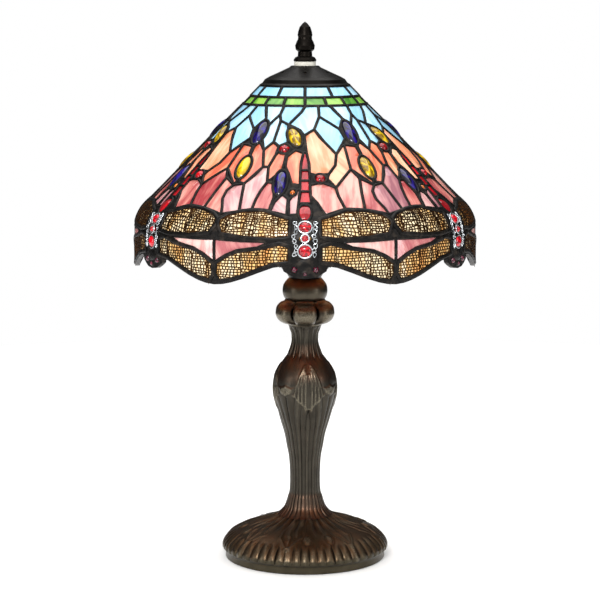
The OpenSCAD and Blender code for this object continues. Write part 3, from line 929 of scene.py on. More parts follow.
# ------------------------------------------------------------------ the leaded shade
OPAL_BLUE = OpalescentGlass(
    "opal glass, pale blue", "blue_glass", "#b9d8e6", "#95c2d9", "#7cb2ce", glow=0.1, strength=0.45
)
OPAL_CROWN = OpalescentGlass(
    "opal glass, crown blue", "crown_glass", "#b4d7e8", "#90c3dd", "#76b1d2", glow=0.1, strength=0.4
)
STREAKY_GREEN = OpalescentGlass(
    "streaky glass, leaf green", "green_glass", "#86b446", "#5c9530", "#35701f", glow=0.08
)
OPAL_CREAM = OpalescentGlass("opal glass, cream", "cream_glass", "#f0cfb2", "#e5ac8a", "#d98660", glow=0.1)
STREAKY_PEACH = OpalescentGlass(
    "streaky glass, peach", "peach_glass", "#ecb592", "#dc8865", "#c05c42", glow=0.1
)
STREAKY_CORAL = OpalescentGlass(
    "streaky glass, coral", "coral_glass", "#e8a986", "#da8664", "#c05a42", glow=0.1
)
STREAKY_ROSE = OpalescentGlass(
    "streaky glass, rose", "rose_glass", "#d49a8c", "#b96c64", "#96383c", glow=0.08
)
STREAKY_MAUVE = OpalescentGlass(
    "streaky glass, dusty pink", "mauve_glass", "#cda39d", "#b37d7e", "#8f5b64", glow=0.08
)
AMBER_WING = OpalescentGlass(
    "ring-mottled glass, gold", "wing_glass", "#fbe9c0", "#efc27c", "#d98a42", 6.5, 0.34
)
GAP_GLASS = OpalescentGlass(
    "streaky glass, dusk pink", "wing_gap_glass", "#e2bbb2", "#c68682", "#a65a5e", glow=0.08
)
RUBY = OpalescentGlass("selenium ruby glass", "body_glass", "#b4101c", "#960612", "#5a0209", 4.0, 0.3)
RUBY_JEWEL = PressedJewel("pressed glass, ruby", "red_jewel", "#4a0106", "#b80815", 0.3)
THORAX_JEWEL = PressedJewel("pressed glass, garnet", "thorax_jewel", "#6a020c", "#cc0a1e", 0.3)
EYE_JEWEL = PressedJewel("pressed glass, plum", "eye_jewel", "#200210", "#6a0a2c", 0.06)
VIOLET_JEWEL = PressedJewel("pressed glass, violet", "purple_jewel", "#060116", "#1c0a78", 0.12)
GOLD_JEWEL = PressedJewel("pressed glass, gold", "yellow_jewel", "#6a4f02", "#d6b208", 0.16)
AMBER_JEWEL = PressedJewel("pressed glass, amber", "amber_jewel", "#6a2604", "#dc740a", 0.2)
SOLDER = PatinatedSolder("soft solder, black patina", "lead")
FILIGREE = SpunMetal("pierced brass, browned", "filigree_brass", "#4a2f16", "#1c110a", 0.45)
SILVERED = SpunMetal("cast tin wire, bright", "filigree_silver", "#d9dde0", "#8d9398", 0.24)


@dataclass
class Jewel:
    """One pressed jewel, found from its CAD solid.

    Attributes:
        middle: Centre of its seat on the surface, in metres.
        across: Its half-width as a vector in the surface.
        along: Its half-length as a vector in the surface.
        out: The outward unit normal.
        rise: Height of its top above the surface, in metres.
    """

    middle: Vector
    across: Vector
    along: Vector
    out: Vector
    rise: float


@dataclass
class LeadedShade:
    """The shade: panes, jewels and wing filigree held by beads of solder.

    Attributes:
        surface: The middle surface.
        lead_mm: Distance from a pane's edge to the middle of the lead line beside it.
        bead_mm: Radius of a solder bead before it is flattened.
        wing_bead_mm: The same for the heavy line round each wing.
        flat: How much of a bead's height is left.
        mesh_row_mm: Spacing of the filigree's rows.
        mesh_cell_mm: Average width of its cells.
        mesh_wire_mm: Half the width of its wires, which are drawn wide enough to show.
        wire_mm: Distance of the thorax's wire loops from its middle line.
    """

    surface: ShadeSurface
    lead_mm: float = 1.25
    bead_mm: float = 1.3
    wing_bead_mm: float = 1.9
    flat: float = 0.62
    mesh_row_mm: float = 2.35
    mesh_cell_mm: float = 2.9
    mesh_wire_mm: float = 0.42
    wire_mm: float = 8.2

    def panes(self, node: str, finish: OpalescentGlass) -> list[Pane]:
        """Rebuilds a kind of glass pane by pane, each with its own tint and direction of streak.

        Args:
            node: The CAD node that holds this glass.
            finish: The glass.

        Returns:
            The panes found in it.
        """
        shape = merged_copy(node)
        shape.verts.index_update()
        chance = random.Random(node)
        flow = np.zeros((len(shape.verts), 3))
        tint = np.zeros(len(shape.verts))
        found = []
        for group in islands(shape):
            verts = np.array([vert.index for vert in group])
            places = np.array([vert.co for vert in group])
            x, y, _ = places.mean(0)
            turn = math.atan2(x, -y)
            azimuth, slant, lift = self.surface.locate(places)
            middle = np.array([turn, slant.mean()])
            along = wrapped(azimuth - turn, math.tau) * self.surface.radius(slant)
            lean = chance.gauss(0, 0.3)
            run = (slant - middle[1]) * math.cos(lean) + along * math.sin(lean)
            side = along * math.cos(lean) - (slant - middle[1]) * math.sin(lean)
            flow[verts] = np.stack([side, run, lift + chance.uniform(0, 900)], 1) * MM
            tint[verts] = chance.random()
            found.append(Pane(verts, outline_of(group, self.surface), middle))
        mesh = meshed(shape)
        write_values(mesh, "flow", flow)
        write_values(mesh, "tint", tint)
        piece(mesh, node + "_sheet", Body.SHADE, finish, (node,))
        return found

    def flattened(self, mesh: bpy.types.Mesh, base_mm: float) -> None:
        """Presses beads towards the surface that lies base_mm from the middle one."""
        azimuth, slant, lift = self.surface.locate(points(mesh))
        pressed = base_mm + (lift - base_mm) * self.flat
        move_points(mesh, self.surface.place(azimuth, slant, pressed))

    def beads(
        self, name: str, found: Iterable[Pane], away_mm: float, radius_mm: float, lift_mm: float
    ) -> None:
        """Runs solder along the lead lines round some panes.

        Args:
            name: The piece's name.
            found: The panes.
            away_mm: Distance of the bead's middle from the pane's edge.
            radius_mm: The bead's radius before it is flattened.
            lift_mm: Where the bead lies, outwards from the middle surface.
        """
        runs = []
        for pane in found:
            line = widened(evened(pane.outline, 3.2, self.surface), away_mm, self.surface)
            runs.append(self.surface.place(line[:, 0], line[:, 1], lift_mm))
        mesh = tube(runs, radius_mm)
        self.flattened(mesh, lift_mm)
        piece(mesh, name, Body.SHADE, SOLDER, (), 60)

    def jewels(self, node: str) -> list[Jewel]:
        """Finds the jewels of a CAD node."""
        shape = merged_copy(node)
        shape.verts.index_update()
        found = []
        for group in islands(shape):
            places = np.array([vert.co for vert in group])
            azimuth, slant, lift = self.surface.locate(places)
            middle = places.mean(0)
            at, down, _ = self.surface.locate(middle[None])
            out = self.surface.normal(at, down)[0]
            middle = self.surface.place(at, down, 0.0)[0]
            flat = places - middle
            flat = flat - np.outer(flat @ out, out)
            _, axes = np.linalg.eigh(flat.T @ flat)
            across, along = axes[:, 1], axes[:, 2]
            half = [np.abs(flat @ axis).max() for axis in (across, along)]
            found.append(
                Jewel(
                    Vector(middle), Vector(across * half[0]), Vector(along * half[1]), Vector(out),
                    lift.max() * MM,
                )
            )
        shape.free()
        return found

    def domes(self, node: str, found: Iterable[Jewel], finish: PressedJewel) -> None:
        """Presses a domed jewel into each seat, flat behind and round in front.

        Args:
            node: The CAD node that they replace.
            found: The jewels.
            finish: Their glass.
        """
        shape = bmesh.new()
        painted_heart_heights: list[float] = []
        for jewel in found:
            made = bmesh.ops.create_uvsphere(shape, u_segments=28, v_segments=14, radius=1.0)
            rise, back = jewel.rise - 0.6 * MM, 1.9 * MM
            for vert in made["verts"]:
                x, y, z = vert.co
                painted_heart_heights.append(max(0.0, z))
                depth = z * rise if z > 0 else -min(1.0, -2.2 * z) * back
                vert.co = jewel.middle + jewel.across * x + jewel.along * y + jewel.out * (0.6 * MM + depth)
        bmesh.ops.recalc_face_normals(shape, faces=shape.faces)
        mesh = meshed(shape)
        # the dome's height, from which the jewel's glass paints a lighter heart and a darker rim
        write_values(mesh, "relief", np.array(painted_heart_heights))
        piece(mesh, node + "_domes", Body.SHADE, finish, (node,), 70)

    def bezels(
        self,
        name: str,
        found: Iterable[Jewel],
        away_mm: float,
        radius_mm: float,
        lift_mm: float,
        finish: Finish,
    ) -> None:
        """Runs a ring round each jewel.

        Args:
            name: The piece's name.
            found: The jewels.
            away_mm: Distance of the ring's middle from the jewel's edge.
            radius_mm: The ring's radius before it is flattened.
            lift_mm: Where it lies, outwards from the middle surface.
            finish: Its finish.
        """
        turn = np.linspace(0, math.tau, 33)[:-1]
        runs = []
        for jewel in found:
            wide = jewel.across * (1 + away_mm * MM / jewel.across.length)
            tall = jewel.along * (1 + away_mm * MM / jewel.along.length)
            ring = np.array(jewel.middle) + np.outer(np.cos(turn), wide) + np.outer(np.sin(turn), tall)
            azimuth, slant, _ = self.surface.locate(ring)
            runs.append(self.surface.place(azimuth, slant, lift_mm))
        mesh = tube(runs, radius_mm)
        self.flattened(mesh, lift_mm)
        piece(mesh, name, Body.SHADE, finish, (), 60)

    def filigree(self, found: Sequence[Pane]) -> None:
        """Pierces the sheet over each wing into rows of small cells.

        Args:
            found: The wing panes, of which those in the front sector are cut and the rest are
                turned copies, as they come from one stamping.
        """
        chance = random.Random("filigree")
        shape = bmesh.new()
        for pane in found:
            if abs(wrapped(pane.middle[0], math.tau)) > math.pi / 6:
                continue
            around = float(self.surface.radius(np.array([pane.middle[1]]))[0])
            flat = bmesh.new()
            line = evened(pane.outline, 2.5, self.surface)
            flat.faces.new([flat.verts.new((azimuth * around, slant, 0)) for azimuth, slant in line])
            self.pierce(flat, chance, pane.middle[1] < 165)
            mesh = meshed(flat)
            spots = points(mesh)
            move_points(mesh, self.surface.place(spots[:, 0] / around, spots[:, 1], 1.4))
            shape.from_mesh(mesh)
            bpy.data.meshes.remove(mesh)
        for face in shape.faces:
            face.normal_update()
            middle = face.calc_center_median()
            if face.normal.dot(Vector((middle.x, middle.y, 0.05))) < 0:
                face.normal_flip()
        bmesh.ops.solidify(shape, geom=shape.faces[:], thickness=-0.55 * MM)
        bmesh.ops.recalc_face_normals(shape, faces=shape.faces)
        bmesh.ops.spin(
            shape, geom=shape.verts[:] + shape.edges[:] + shape.faces[:], axis=(0, 0, 1),
            cent=(0, 0, 0), angle=math.tau * 5 / 6, steps=5, use_duplicate=True,
        )
        piece(meshed(shape), "wing_mesh", Body.SHADE, FILIGREE, ("wing_filigree",), 30)

    def pierce(self, shape: bmesh.types.BMesh, chance: random.Random, loose: bool) -> None:
        """Cuts a flat sheet into rows, the rows into cells, and each cell into a frame.

        Args:
            shape: The sheet, flat, in millimetres.
            chance: Gives the uneven spacing.
            loose: Whether the cells are uneven, as on the upper wings.
        """
        left, right = min(v.co.x for v in shape.verts), max(v.co.x for v in shape.verts)
        low, high = min(v.co.y for v in shape.verts), max(v.co.y for v in shape.verts)
        sheet = shape.faces[:]
        block, mean = left, 6.5 if loose else 17.0
        blocks: list[list[bmesh.types.BMFace]] = []
        while block < right:
            block += mean * chance.uniform(0.8, 1.2)
            sheet = self.cut(shape, sheet, (block, 0, 0), (1, chance.gauss(0, 0.04), 0))
            blocks.append([face for face in sheet if face.calc_center_median().x < block])
            sheet = [face for face in sheet if face.calc_center_median().x >= block]
            if not sheet:
                break
        cells: list[bmesh.types.BMFace] = []
        for part in blocks:
            cells += self.bricks(shape, part, chance, loose, (low, high))
        made = bmesh.ops.inset_individual(
            shape, faces=cells, thickness=self.mesh_wire_mm, use_even_offset=True
        )
        bmesh.ops.delete(shape, geom=[face for face in cells if face.is_valid], context="FACES")
        LOG.debug("%d frame faces", len(made["faces"]))

    def bricks(
        self, shape: bmesh.types.BMesh, part: list[bmesh.types.BMFace], chance: random.Random,
        loose: bool, span: tuple[float, float],
    ) -> list[bmesh.types.BMFace]:
        """Cuts one block of the sheet into rows and the rows into cells.

        Args:
            shape: The bmesh that it is in.
            part: The block's faces.
            chance: Gives the uneven spacing.
            loose: Whether the cells are uneven.
            span: The sheet's lowest and highest y.

        Returns:
            The cells.
        """
        row = span[0] + self.mesh_row_mm * chance.uniform(0.4, 1)
        rest, cells = part, []
        while row < span[1] + self.mesh_row_mm and rest:
            tip = chance.gauss(0, 0.1 if loose else 0.03)
            rest = self.cut(shape, rest, (rest[0].calc_center_median().x, row, 0), (tip, 1, 0))
            middles = {face: face.calc_center_median() for face in rest}
            at = sum(spot.x for spot in middles.values()) / len(middles)
            below = [face for face, spot in middles.items() if (spot.x - at) * tip + spot.y < row]
            rest = [face for face in rest if face not in set(below)]
            if below:
                left = min(vert.co.x for face in below for vert in face.verts)
                right = max(vert.co.x for face in below for vert in face.verts)
                column = left + self.mesh_cell_mm * chance.uniform(0.35, 1)
                while column < right - 0.5:
                    lean = chance.gauss(0, 0.3 if loose else 0.1)
                    below = self.cut(shape, below, (column, row - 1.2, 0), (1, lean, 0))
                    column += self.mesh_cell_mm * chance.uniform(0.65, 1.35)
                cells += below
            row += self.mesh_row_mm * chance.uniform(0.8, 1.2)
        return cells + rest

    @staticmethod
    def cut(
        shape: bmesh.types.BMesh,
        faces: list[bmesh.types.BMFace],
        spot: tuple[float, float, float],
        across: tuple[float, float, float],
    ) -> list[bmesh.types.BMFace]:
        """Cuts some faces along a line.

        Args:
            shape: The bmesh that they are in.
            faces: The faces.
            spot: A point on the line.
            across: The line's normal.

        Returns:
            The faces after the cut.
        """
        # a dict keeps the order that it was filled in, so every run cuts alike
        edges = dict.fromkeys(edge for face in faces for edge in face.edges)
        verts = dict.fromkeys(vert for face in faces for vert in face.verts)
        made = bmesh.ops.bisect_plane(
            shape, geom=list(verts) + list(edges) + list(faces), dist=1e-4, plane_co=spot, plane_no=across,
        )
        return [item for item in made["geom"] if isinstance(item, bmesh.types.BMFace)]

    def thorax(self, found: Sequence[Jewel]) -> None:
        """Lays bright cast wire in loops and curls on each dragonfly's thorax.

        Args:
            found: The thorax jewels.
        """
        chance = random.Random("thorax")
        runs = []
        for k in range(6):
            centre = k * math.pi / 3
            for side in (-1, 1):
                for slant in np.arange(155.5, 184, 3.7):
                    turn = np.linspace(0, math.tau, 15)[:-1]
                    wide, tall = chance.uniform(1.1, 1.7), chance.uniform(1.2, 2.0)
                    wobble = 1 + 0.16 * np.sin(3 * turn + chance.uniform(0, 6))
                    around = float(self.surface.radius(np.array([slant]))[0])
                    middle = centre + side * (self.wire_mm + chance.uniform(-0.9, 1.4)) / around
                    azimuth = middle + wide * wobble * np.cos(turn) / around
                    runs.append(self.surface.place(azimuth, slant + tall * wobble * np.sin(turn), 2.35))
        mesh = tube(runs, 0.48)
        piece(mesh, "thorax_wire", Body.SHADE, SILVERED, ("body_filigree",), 60)
        self.bezels("thorax_rings", found, 0.35, 0.62, 2.3, SILVERED)

    def heads(self) -> None:
        """Domes the solder over each dragonfly's head, on which the eyes sit."""
        shape = bmesh.new()
        for k in range(6):
            centre = k * math.pi / 3
            for side, slant, wide, tall, rise in ((-0.0, 190.5, 8.2, 5.6, 2.6), (0.0, 197.6, 4.4, 3.2, 2.6)):
                made = bmesh.ops.create_uvsphere(shape, u_segments=24, v_segments=12, radius=1.0)
                around = float(self.surface.radius(np.array([slant]))[0])
                local = np.array([vert.co for vert in made["verts"]])
                azimuth = centre + side / around + local[:, 0] * wide / around
                lift = 1.2 + local[:, 2] * (rise - 1.2)
                places = self.surface.place(azimuth, slant + local[:, 1] * tall, lift)
                for vert, spot in zip(made["verts"], places):
                    vert.co = spot
        bmesh.ops.recalc_face_normals(shape, faces=shape.faces)
        piece(meshed(shape), "dragonfly_heads", Body.SHADE, SOLDER, (), 60)

    def build(self) -> None:
        """Builds the whole shade."""
        field: list[Pane] = []
        glazing = {
            "crown_glass": OPAL_CROWN,
            "green_band_glass": STREAKY_GREEN,
            "blue_petal_glass": OPAL_BLUE,
            "cream_petal_glass": OPAL_CREAM,
            "peach_petal_glass": STREAKY_PEACH,
            "coral_petal_glass": STREAKY_CORAL,
            "rose_petal_glass": STREAKY_ROSE,
            "mauve_petal_glass": STREAKY_MAUVE,
            "wing_gap_glass": GAP_GLASS,
        }
        for node, finish in glazing.items():
            field += self.panes(node, finish)
        wings = self.panes("wing_glass", AMBER_WING)
        body = self.panes("body_glass", RUBY)
        SOLDER.dress(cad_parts["lead_came"])
        self.beads("solder_beads_outer", field + body, self.lead_mm, self.bead_mm, 1.7)
        self.beads("solder_beads_inner", field + body, self.lead_mm, self.bead_mm, -1.7)
        self.beads("wing_beads_outer", wings, 1.55, self.wing_bead_mm, 1.8)
        self.beads("wing_beads_inner", wings, 1.55, self.wing_bead_mm, -1.8)
        kinds = {
            "purple_jewels": VIOLET_JEWEL,
            "yellow_jewels": GOLD_JEWEL,
            "red_jewels": RUBY_JEWEL,
            "amber_jewels": AMBER_JEWEL,
            "thorax_jewels": THORAX_JEWEL,
            "eye_jewels": EYE_JEWEL,
        }
        set_in_field: list[Jewel] = []
        for node, finish in kinds.items():
            found = self.jewels(node)
            self.domes(node, found, finish)
            if node == "thorax_jewels":
                self.thorax(found)
            elif node != "eye_jewels":
                set_in_field += found
        self.bezels("jewel_bezels", set_in_field, 0.9, 1.25, 1.9, SOLDER)
        self.bezels("jewel_bezels_inner", set_in_field, 0.9, 1.25, -1.6, SOLDER)
        self.filigree(wings)
        self.heads()


# ------------------------------------------------------------------ the base castings
FOOT_BRONZE = PatinatedBronze(
    "cast bronze, brown patina, foot", "foot_bronze", body="#464033", top_light_tint="#5c4029"
)
STEM_BRONZE = PatinatedBronze(
    "cast bronze, brown patina, stem", "stem_bronze", body="#3e3a33", top_light_tint="#663d26"
)
COLLAR_BRONZE = PatinatedBronze("cast bronze, brown patina, collar", "collar_bronze", top_light_tint="#854d28")
KNOP_BRONZE = PatinatedBronze("cast bronze, brown patina, knop", "knop_bronze", top_light_tint="#7c4a29")
CUP_BRONZE = PatinatedBronze("cast bronze, brown patina, cup", "cup_bronze")
CAP_BRONZE = PatinatedBronze("spun bronze, brown patina, cap", "cap_bronze", body="#4a443a", top_light_tint="#4a3f30")
FINIAL_BRONZE = PatinatedBronze(
    "cast bronze, brown patina, finial", "finial_bronze", body="#5c5547", top_light_tint="#5c4c38"
)
FELT = Moulded("pressed wool felt, green", "felt", "#33422f", "#1f2b1f", 0.9, 0.8, 0.25)
RUBBER = Moulded("moulded rubber, black", "rubber_black", "#1b1a19", "#0f0e0e", 0.6)
PHENOLIC = Moulded("moulded phenolic, brown", "phenolic", "#2a1b14", "#160e0a", 0.3)
FIBRE = Moulded("fibreboard, grey", "fibre_liner", "#c9bfae", "#a89c88", 0.8)
NYLON = Moulded("moulded nylon, white", "nylon", "#d9d6cb", "#bdb9ac", 0.4)
INSULATOR = Moulded("fused glass insulator, black", "bulb_insulator", "#201e22", "#0e0d10", 0.2)
ZINC = SpunMetal("zinc-plated steel", "zinc_steel", "#8f9090", "#5c5d60", 0.34)
HARP_BRASS = SpunMetal("brass-plated steel wire", "harp_brass", "#b08f52", "#755a2c", 0.28)
SOCKET_BRASS = SpunMetal("spun brass", "socket_brass", "#bf9a55", "#86672f", 0.26)
CONTACT_BRASS = SpunMetal("stamped brass", "contact_brass", "#c9a458", "#8f7136", 0.3)
CAP_METAL = SpunMetal("rolled aluminium, screw cap", "bulb_cap_metal", "#c3c5c8", "#8f9296", 0.28)
TUNGSTEN = SpunMetal("drawn tungsten and glass stem", "bulb_filament", "#9a948a", "#5f5a52", 0.4)
BULB_GLASS = FrostedGlass("soda-lime glass, frosted", "bulb_glass")


@dataclass
class Castings:
    """The foot, stem, collar and knop, turned, and all but the knop given their relief.

    Attributes:
        rim_r: Radius of the foot's rim, in millimetres, as are the rest.
        foot_z: Heights of the foot's lowest and highest points.
        stem_z: Heights of the stem's lowest and highest points.
        bulge_r: The stem's largest radius.
        turn_deg: How far the pattern is turned from the front.
        reeds: Number of reeds round the stem.
        gadroons: Number of flutes round the foot's rim.
    """

    rim_r: float
    foot_z: tuple[float, float]
    stem_z: tuple[float, float]
    bulge_r: float
    turn_deg: float = 7.0
    reeds: int = 28
    gadroons: int = 56

    def foot(self) -> None:
        """Casts the foot: lotus leaves and buds round a ring of gadroons, over a plain plinth."""
        rim, (low, high) = self.rim_r, self.foot_z
        line = [(rim - 2.8, low), (rim - 2.8, 5.4), (rim - 2.2, 7), (rim - 0.6, 8.6), (rim, 11),
                (rim - 0.8, 13.5), (rim - 3.5, 17.5), (rim - 8.5, 22), (rim - 14.5, 25.5),
                (rim - 21.5, 28.5), (rim - 30.5, 31.5), (rim - 42, 35), (25.8, high)]
        inside = [(5.2, high), (5.2, high - 3), (26, high - 4.5), (rim - 30, 27), (rim - 6.2, 14)]
        mesh = meshed(turned([(rim - 6.2, low)] + smoothed(line, 0.75) + inside, 480))
        raised(mesh, self.foot_relief, 2.2)
        piece(mesh, "foot_lotus", Body.BASE, FOOT_BRONZE, ("foot_casting",), 50)

    def foot_relief(self, angle: Array, radius: Array, height: Array) -> Array:
        """Height of the foot's pattern.

        Args:
            angle: Degrees from the front.
            radius: Millimetres from the axis.
            height: Millimetres above the table.

        Returns:
            The relief, with 0.6 as the plain ground.
        """
        rim = self.rim_r
        flute = wrapped(angle + 1.5 * np.sin(np.radians(angle * 4)), 360 / self.gadroons)
        crest = np.sqrt(np.clip(1 - (flute * self.gadroons / 180) ** 2, 0, 1)) - 0.72
        band = soft(radius - (rim - 10.5), 9) * soft(rim + 0.2 - radius, 1.6)
        shape = crest * band * 0.85
        for centre in (-14, 38):
            away = np.abs(wrapped(angle - centre, 90)) * radius * math.pi / 180
            half = 9.2 * np.clip((rim - 7.5 - radius) / 14, 0, 1) ** 0.8
            inside = soft(half - away, 2.4) * soft(radius - (rim - 24), 5)
            edge = np.exp(-(((half - away) / 1.2) ** 2)) * soft(radius - (rim - 23), 4)
            vein = np.exp(-((away / 0.9) ** 2)) * inside
            tip = np.hypot(away, radius - (rim - 7.6))
            shape = shape * (1 - 0.7 * inside) + 0.32 * edge - 0.1 * inside + 0.2 * vein
            shape = shape + 0.4 * soft(2.1 - tip, 1.8)
        for centre in (2, 22):
            away = np.abs(wrapped(angle - centre, 90)) * radius * math.pi / 180
            bud = np.hypot(away, (radius - (rim - 19)) * 0.62)
            shape = shape + 0.36 * soft(2.9 - bud, 2.4) - 0.16 * np.exp(-(((bud - 3.9) / 0.9) ** 2))
        for centre in (-22, -14, -6, 2, 12, 22, 30, 38, 46):
            away = wrapped(angle - centre - 3 * np.sin(radius / 9), 90) * radius * math.pi / 180
            stalk = np.exp(-((away / 1.2) ** 2)) * soft(rim - 23 - radius, 5) * soft(radius - 27, 8)
            shape = shape + 0.24 * stalk
        fan = np.cos(np.radians(wrapped(angle - self.turn_deg, 360 / self.reeds) * self.reeds))
        shape = shape + (fan * 0.22 - 0.08) * soft(44 - radius, 18)
        return np.where((height > 9) & (radius > 5.4), np.clip(0.6 + shape, 0, 1), 0.6)

    def stem(self) -> None:
        """Casts the stem: reeds tied at four knots, with a lotus leaf between each two."""
        low, high = self.stem_z
        line = [(25.6, low), (22.4, 42), (18.6, 47), (15.6, 56), (14, 62), (13.6, 76), (14.4, 92),
                (16.5, 104), (18.8, 116), (22.4, 128), (27, 144), (self.bulge_r - 0.1, 153),
                (self.bulge_r, 161), (27.9, 169), (25, 176), (19.6, 184.5), (16, 189), (13.4, 195),
                (11.9, 201), (11.9, 208), (13.2, 212), (15.2, high)]
        mesh = meshed(turned([(5.2, low)] + smoothed(line, 0.8) + [(5.2, high)], 360))
        raised(mesh, self.stem_relief, 2.1)
        piece(mesh, "stem_reeds", Body.BASE, STEM_BRONZE, ("stem_casting",), 50)

    def stem_relief(self, angle: Array, radius: Array, height: Array) -> Array:
        """Height of the stem's pattern; see foot_relief."""
        quarter = wrapped(angle - self.turn_deg, 90)
        arc = radius * math.pi / 180
        side = np.abs(quarter)
        # reeds lean in towards the knots and pass into the leaf's foot between them
        gather = np.clip((height - 118) / 40, 0, 1) ** 2
        leaned = quarter + np.sign(quarter) * gather * (45 - side) * 0.45
        pitch = 360 / self.reeds
        reed = np.abs(wrapped(leaned, pitch)) / pitch * 2
        depth = 0.75 + 0.25 * np.cos(np.radians(quarter * 16))
        reeds = (np.sqrt(np.clip(1 - reed**2, 0, 1)) - 0.72) * 0.72 * depth
        # the leaf: its foot is a V between the knots and its head a pointed arch
        foot_edge = (height - 141) * 2.05
        head_edge = 25.5 * np.sqrt(np.clip((183.5 - height) / 27, 0, 1))
        half = np.where(height < 158, np.minimum(foot_edge, 38), head_edge)
        leaf = soft((half - side) * arc, 1.2) * soft(height - 141, 2)
        bare = soft(height - 157, 3) * soft(186 - height, 4)
        shape = reeds * (1 - np.maximum(leaf, bare)) * soft(height - 39, 5)
        for k in range(4):
            edge = head_edge * (1 - 0.245 * k) - 0.4 * k
            line = np.exp(-(((side - edge) * arc / 0.95) ** 2)) * soft(182 - 2.5 * k - height, 2)
            shape = shape + 0.34 * line * soft(height - 155 + 5 * k, 6) * (edge > 1)
        ribs = np.cos(np.radians(wrapped(quarter, 6.4) / 6.4 * 360)) * 0.16
        shape = shape + ribs * leaf * soft(172 - height, 12)
        rope = np.exp(-(((foot_edge - side) * arc / 1.5) ** 2)) * soft(height - 141, 3)
        shape = shape + 0.34 * rope * soft(160 - height, 3)
        # the knots, each a bow tied over the reeds
        across = wrapped(quarter - 45, 90) * arc
        rise = height - 158.5
        bow = np.hypot(across / (1 + 0.5 * np.cos(2 * np.arctan2(rise, np.abs(across)))), rise)
        shape = shape * (1 - soft(6 - bow, 3)) + 0.42 * soft(4.6 - bow, 2)
        shape = shape - 0.34 * soft(1.5 - np.hypot(across, rise), 1.1)
        lobes = np.exp(-(((rise - 0.28 * np.abs(across)) / 1.1) ** 2)) * soft(9 - np.abs(across), 3)
        shape = shape + 0.26 * lobes
        neck = np.cos(np.radians(wrapped(angle - self.turn_deg, 24) / 24 * 360)) * 0.26 - 0.06
        shape = shape + neck * soft(height - 190, 5) * soft(214 - height, 3)
        return np.where(radius > 8, np.clip(0.6 + shape, 0, 1), 0.6)

    def collar(self) -> None:
        """Turns the collar and swells it into six soft lobes."""
        low, high = (corner.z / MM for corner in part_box("lobed_collar"))
        line = [(15.2, low), (16.4, 217.8), (21, 218.7), (25.2, 221.4), (27.6, 225.6), (28, 229),
                (26.9, 233), (23.8, 236.4), (20.2, 238), (18.4, high)]
        mesh = meshed(turned([(5.2, low)] + smoothed(line, 0.7) + [(5.2, high)], 240))
        raised(mesh, self.collar_relief, 5.4, 1.0)
        piece(mesh, "collar_lobes", Body.BASE, COLLAR_BRONZE, ("lobed_collar",), 50)

    def collar_relief(self, angle: Array, radius: Array, height: Array) -> Array:
        """Height of the collar's lobes; see foot_relief."""
        lobe = np.abs(wrapped(angle, 60)) / 30
        crease = 1 - lobe**4.5
        return np.where(radius > 15.5, 1 - (1 - crease) * np.clip((radius - 15.5) / 9, 0, 1), 1.0)

    def knop(self) -> None:
        """Turns the smooth ball knop."""
        low, high = (corner.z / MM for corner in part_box("ball_knop"))
        line = [(17.6, low), (19.4, 242.4), (20.4, 246), (20.5, 249.6), (19.7, 253.4), (17.6, 256.8),
                (14.8, high)]
        mesh = meshed(turned([(5.2, low)] + smoothed(line, 0.7) + [(5.2, high)], 160))
        write_values(mesh, "relief", np.full(len(mesh.vertices), 0.6))
        piece(mesh, "knop_turning", Body.BASE, KNOP_BRONZE, ("ball_knop",), 50)

    def build(self) -> None:
        """Builds the castings."""
        self.foot()
        self.stem()
        self.collar()
        self.knop()


PLAIN_NODES: dict[str, Finish] = {
    "felt_pad": FELT,
    "cord_grommet": RUBBER,
    "socket_cup": CUP_BRONZE,
    "threaded_tube": ZINC,
    "base_washer": ZINC,
    "base_nut": ZINC,
    "harp_saddle": HARP_BRASS,
    "harp": HARP_BRASS,
    "harp_rest": HARP_BRASS,
    "harp_stud": HARP_BRASS,
    "socket_cap": SOCKET_BRASS,
    "socket_shell": SOCKET_BRASS,
    "socket_liner": FIBRE,
    "screw_shell": CONTACT_BRASS,
    "centre_contact": CONTACT_BRASS,
    "switch_body": PHENOLIC,
    "switch_knob": PHENOLIC,
    "harp_sleeve_left": HARP_BRASS,
    "harp_sleeve_right": HARP_BRASS,
    "bulb_contact": INSULATOR,
    "bulb_cap": CAP_METAL,
    "bulb_envelope": BULB_GLASS,
    "bulb_stem": TUNGSTEN,
    "shade_cap": CAP_BRONZE,
    "cap_ring": SOCKET_BRASS,
    "cap_washer": NYLON,
    "finial_insert": CONTACT_BRASS,
    "finial": FINIAL_BRONZE,
}


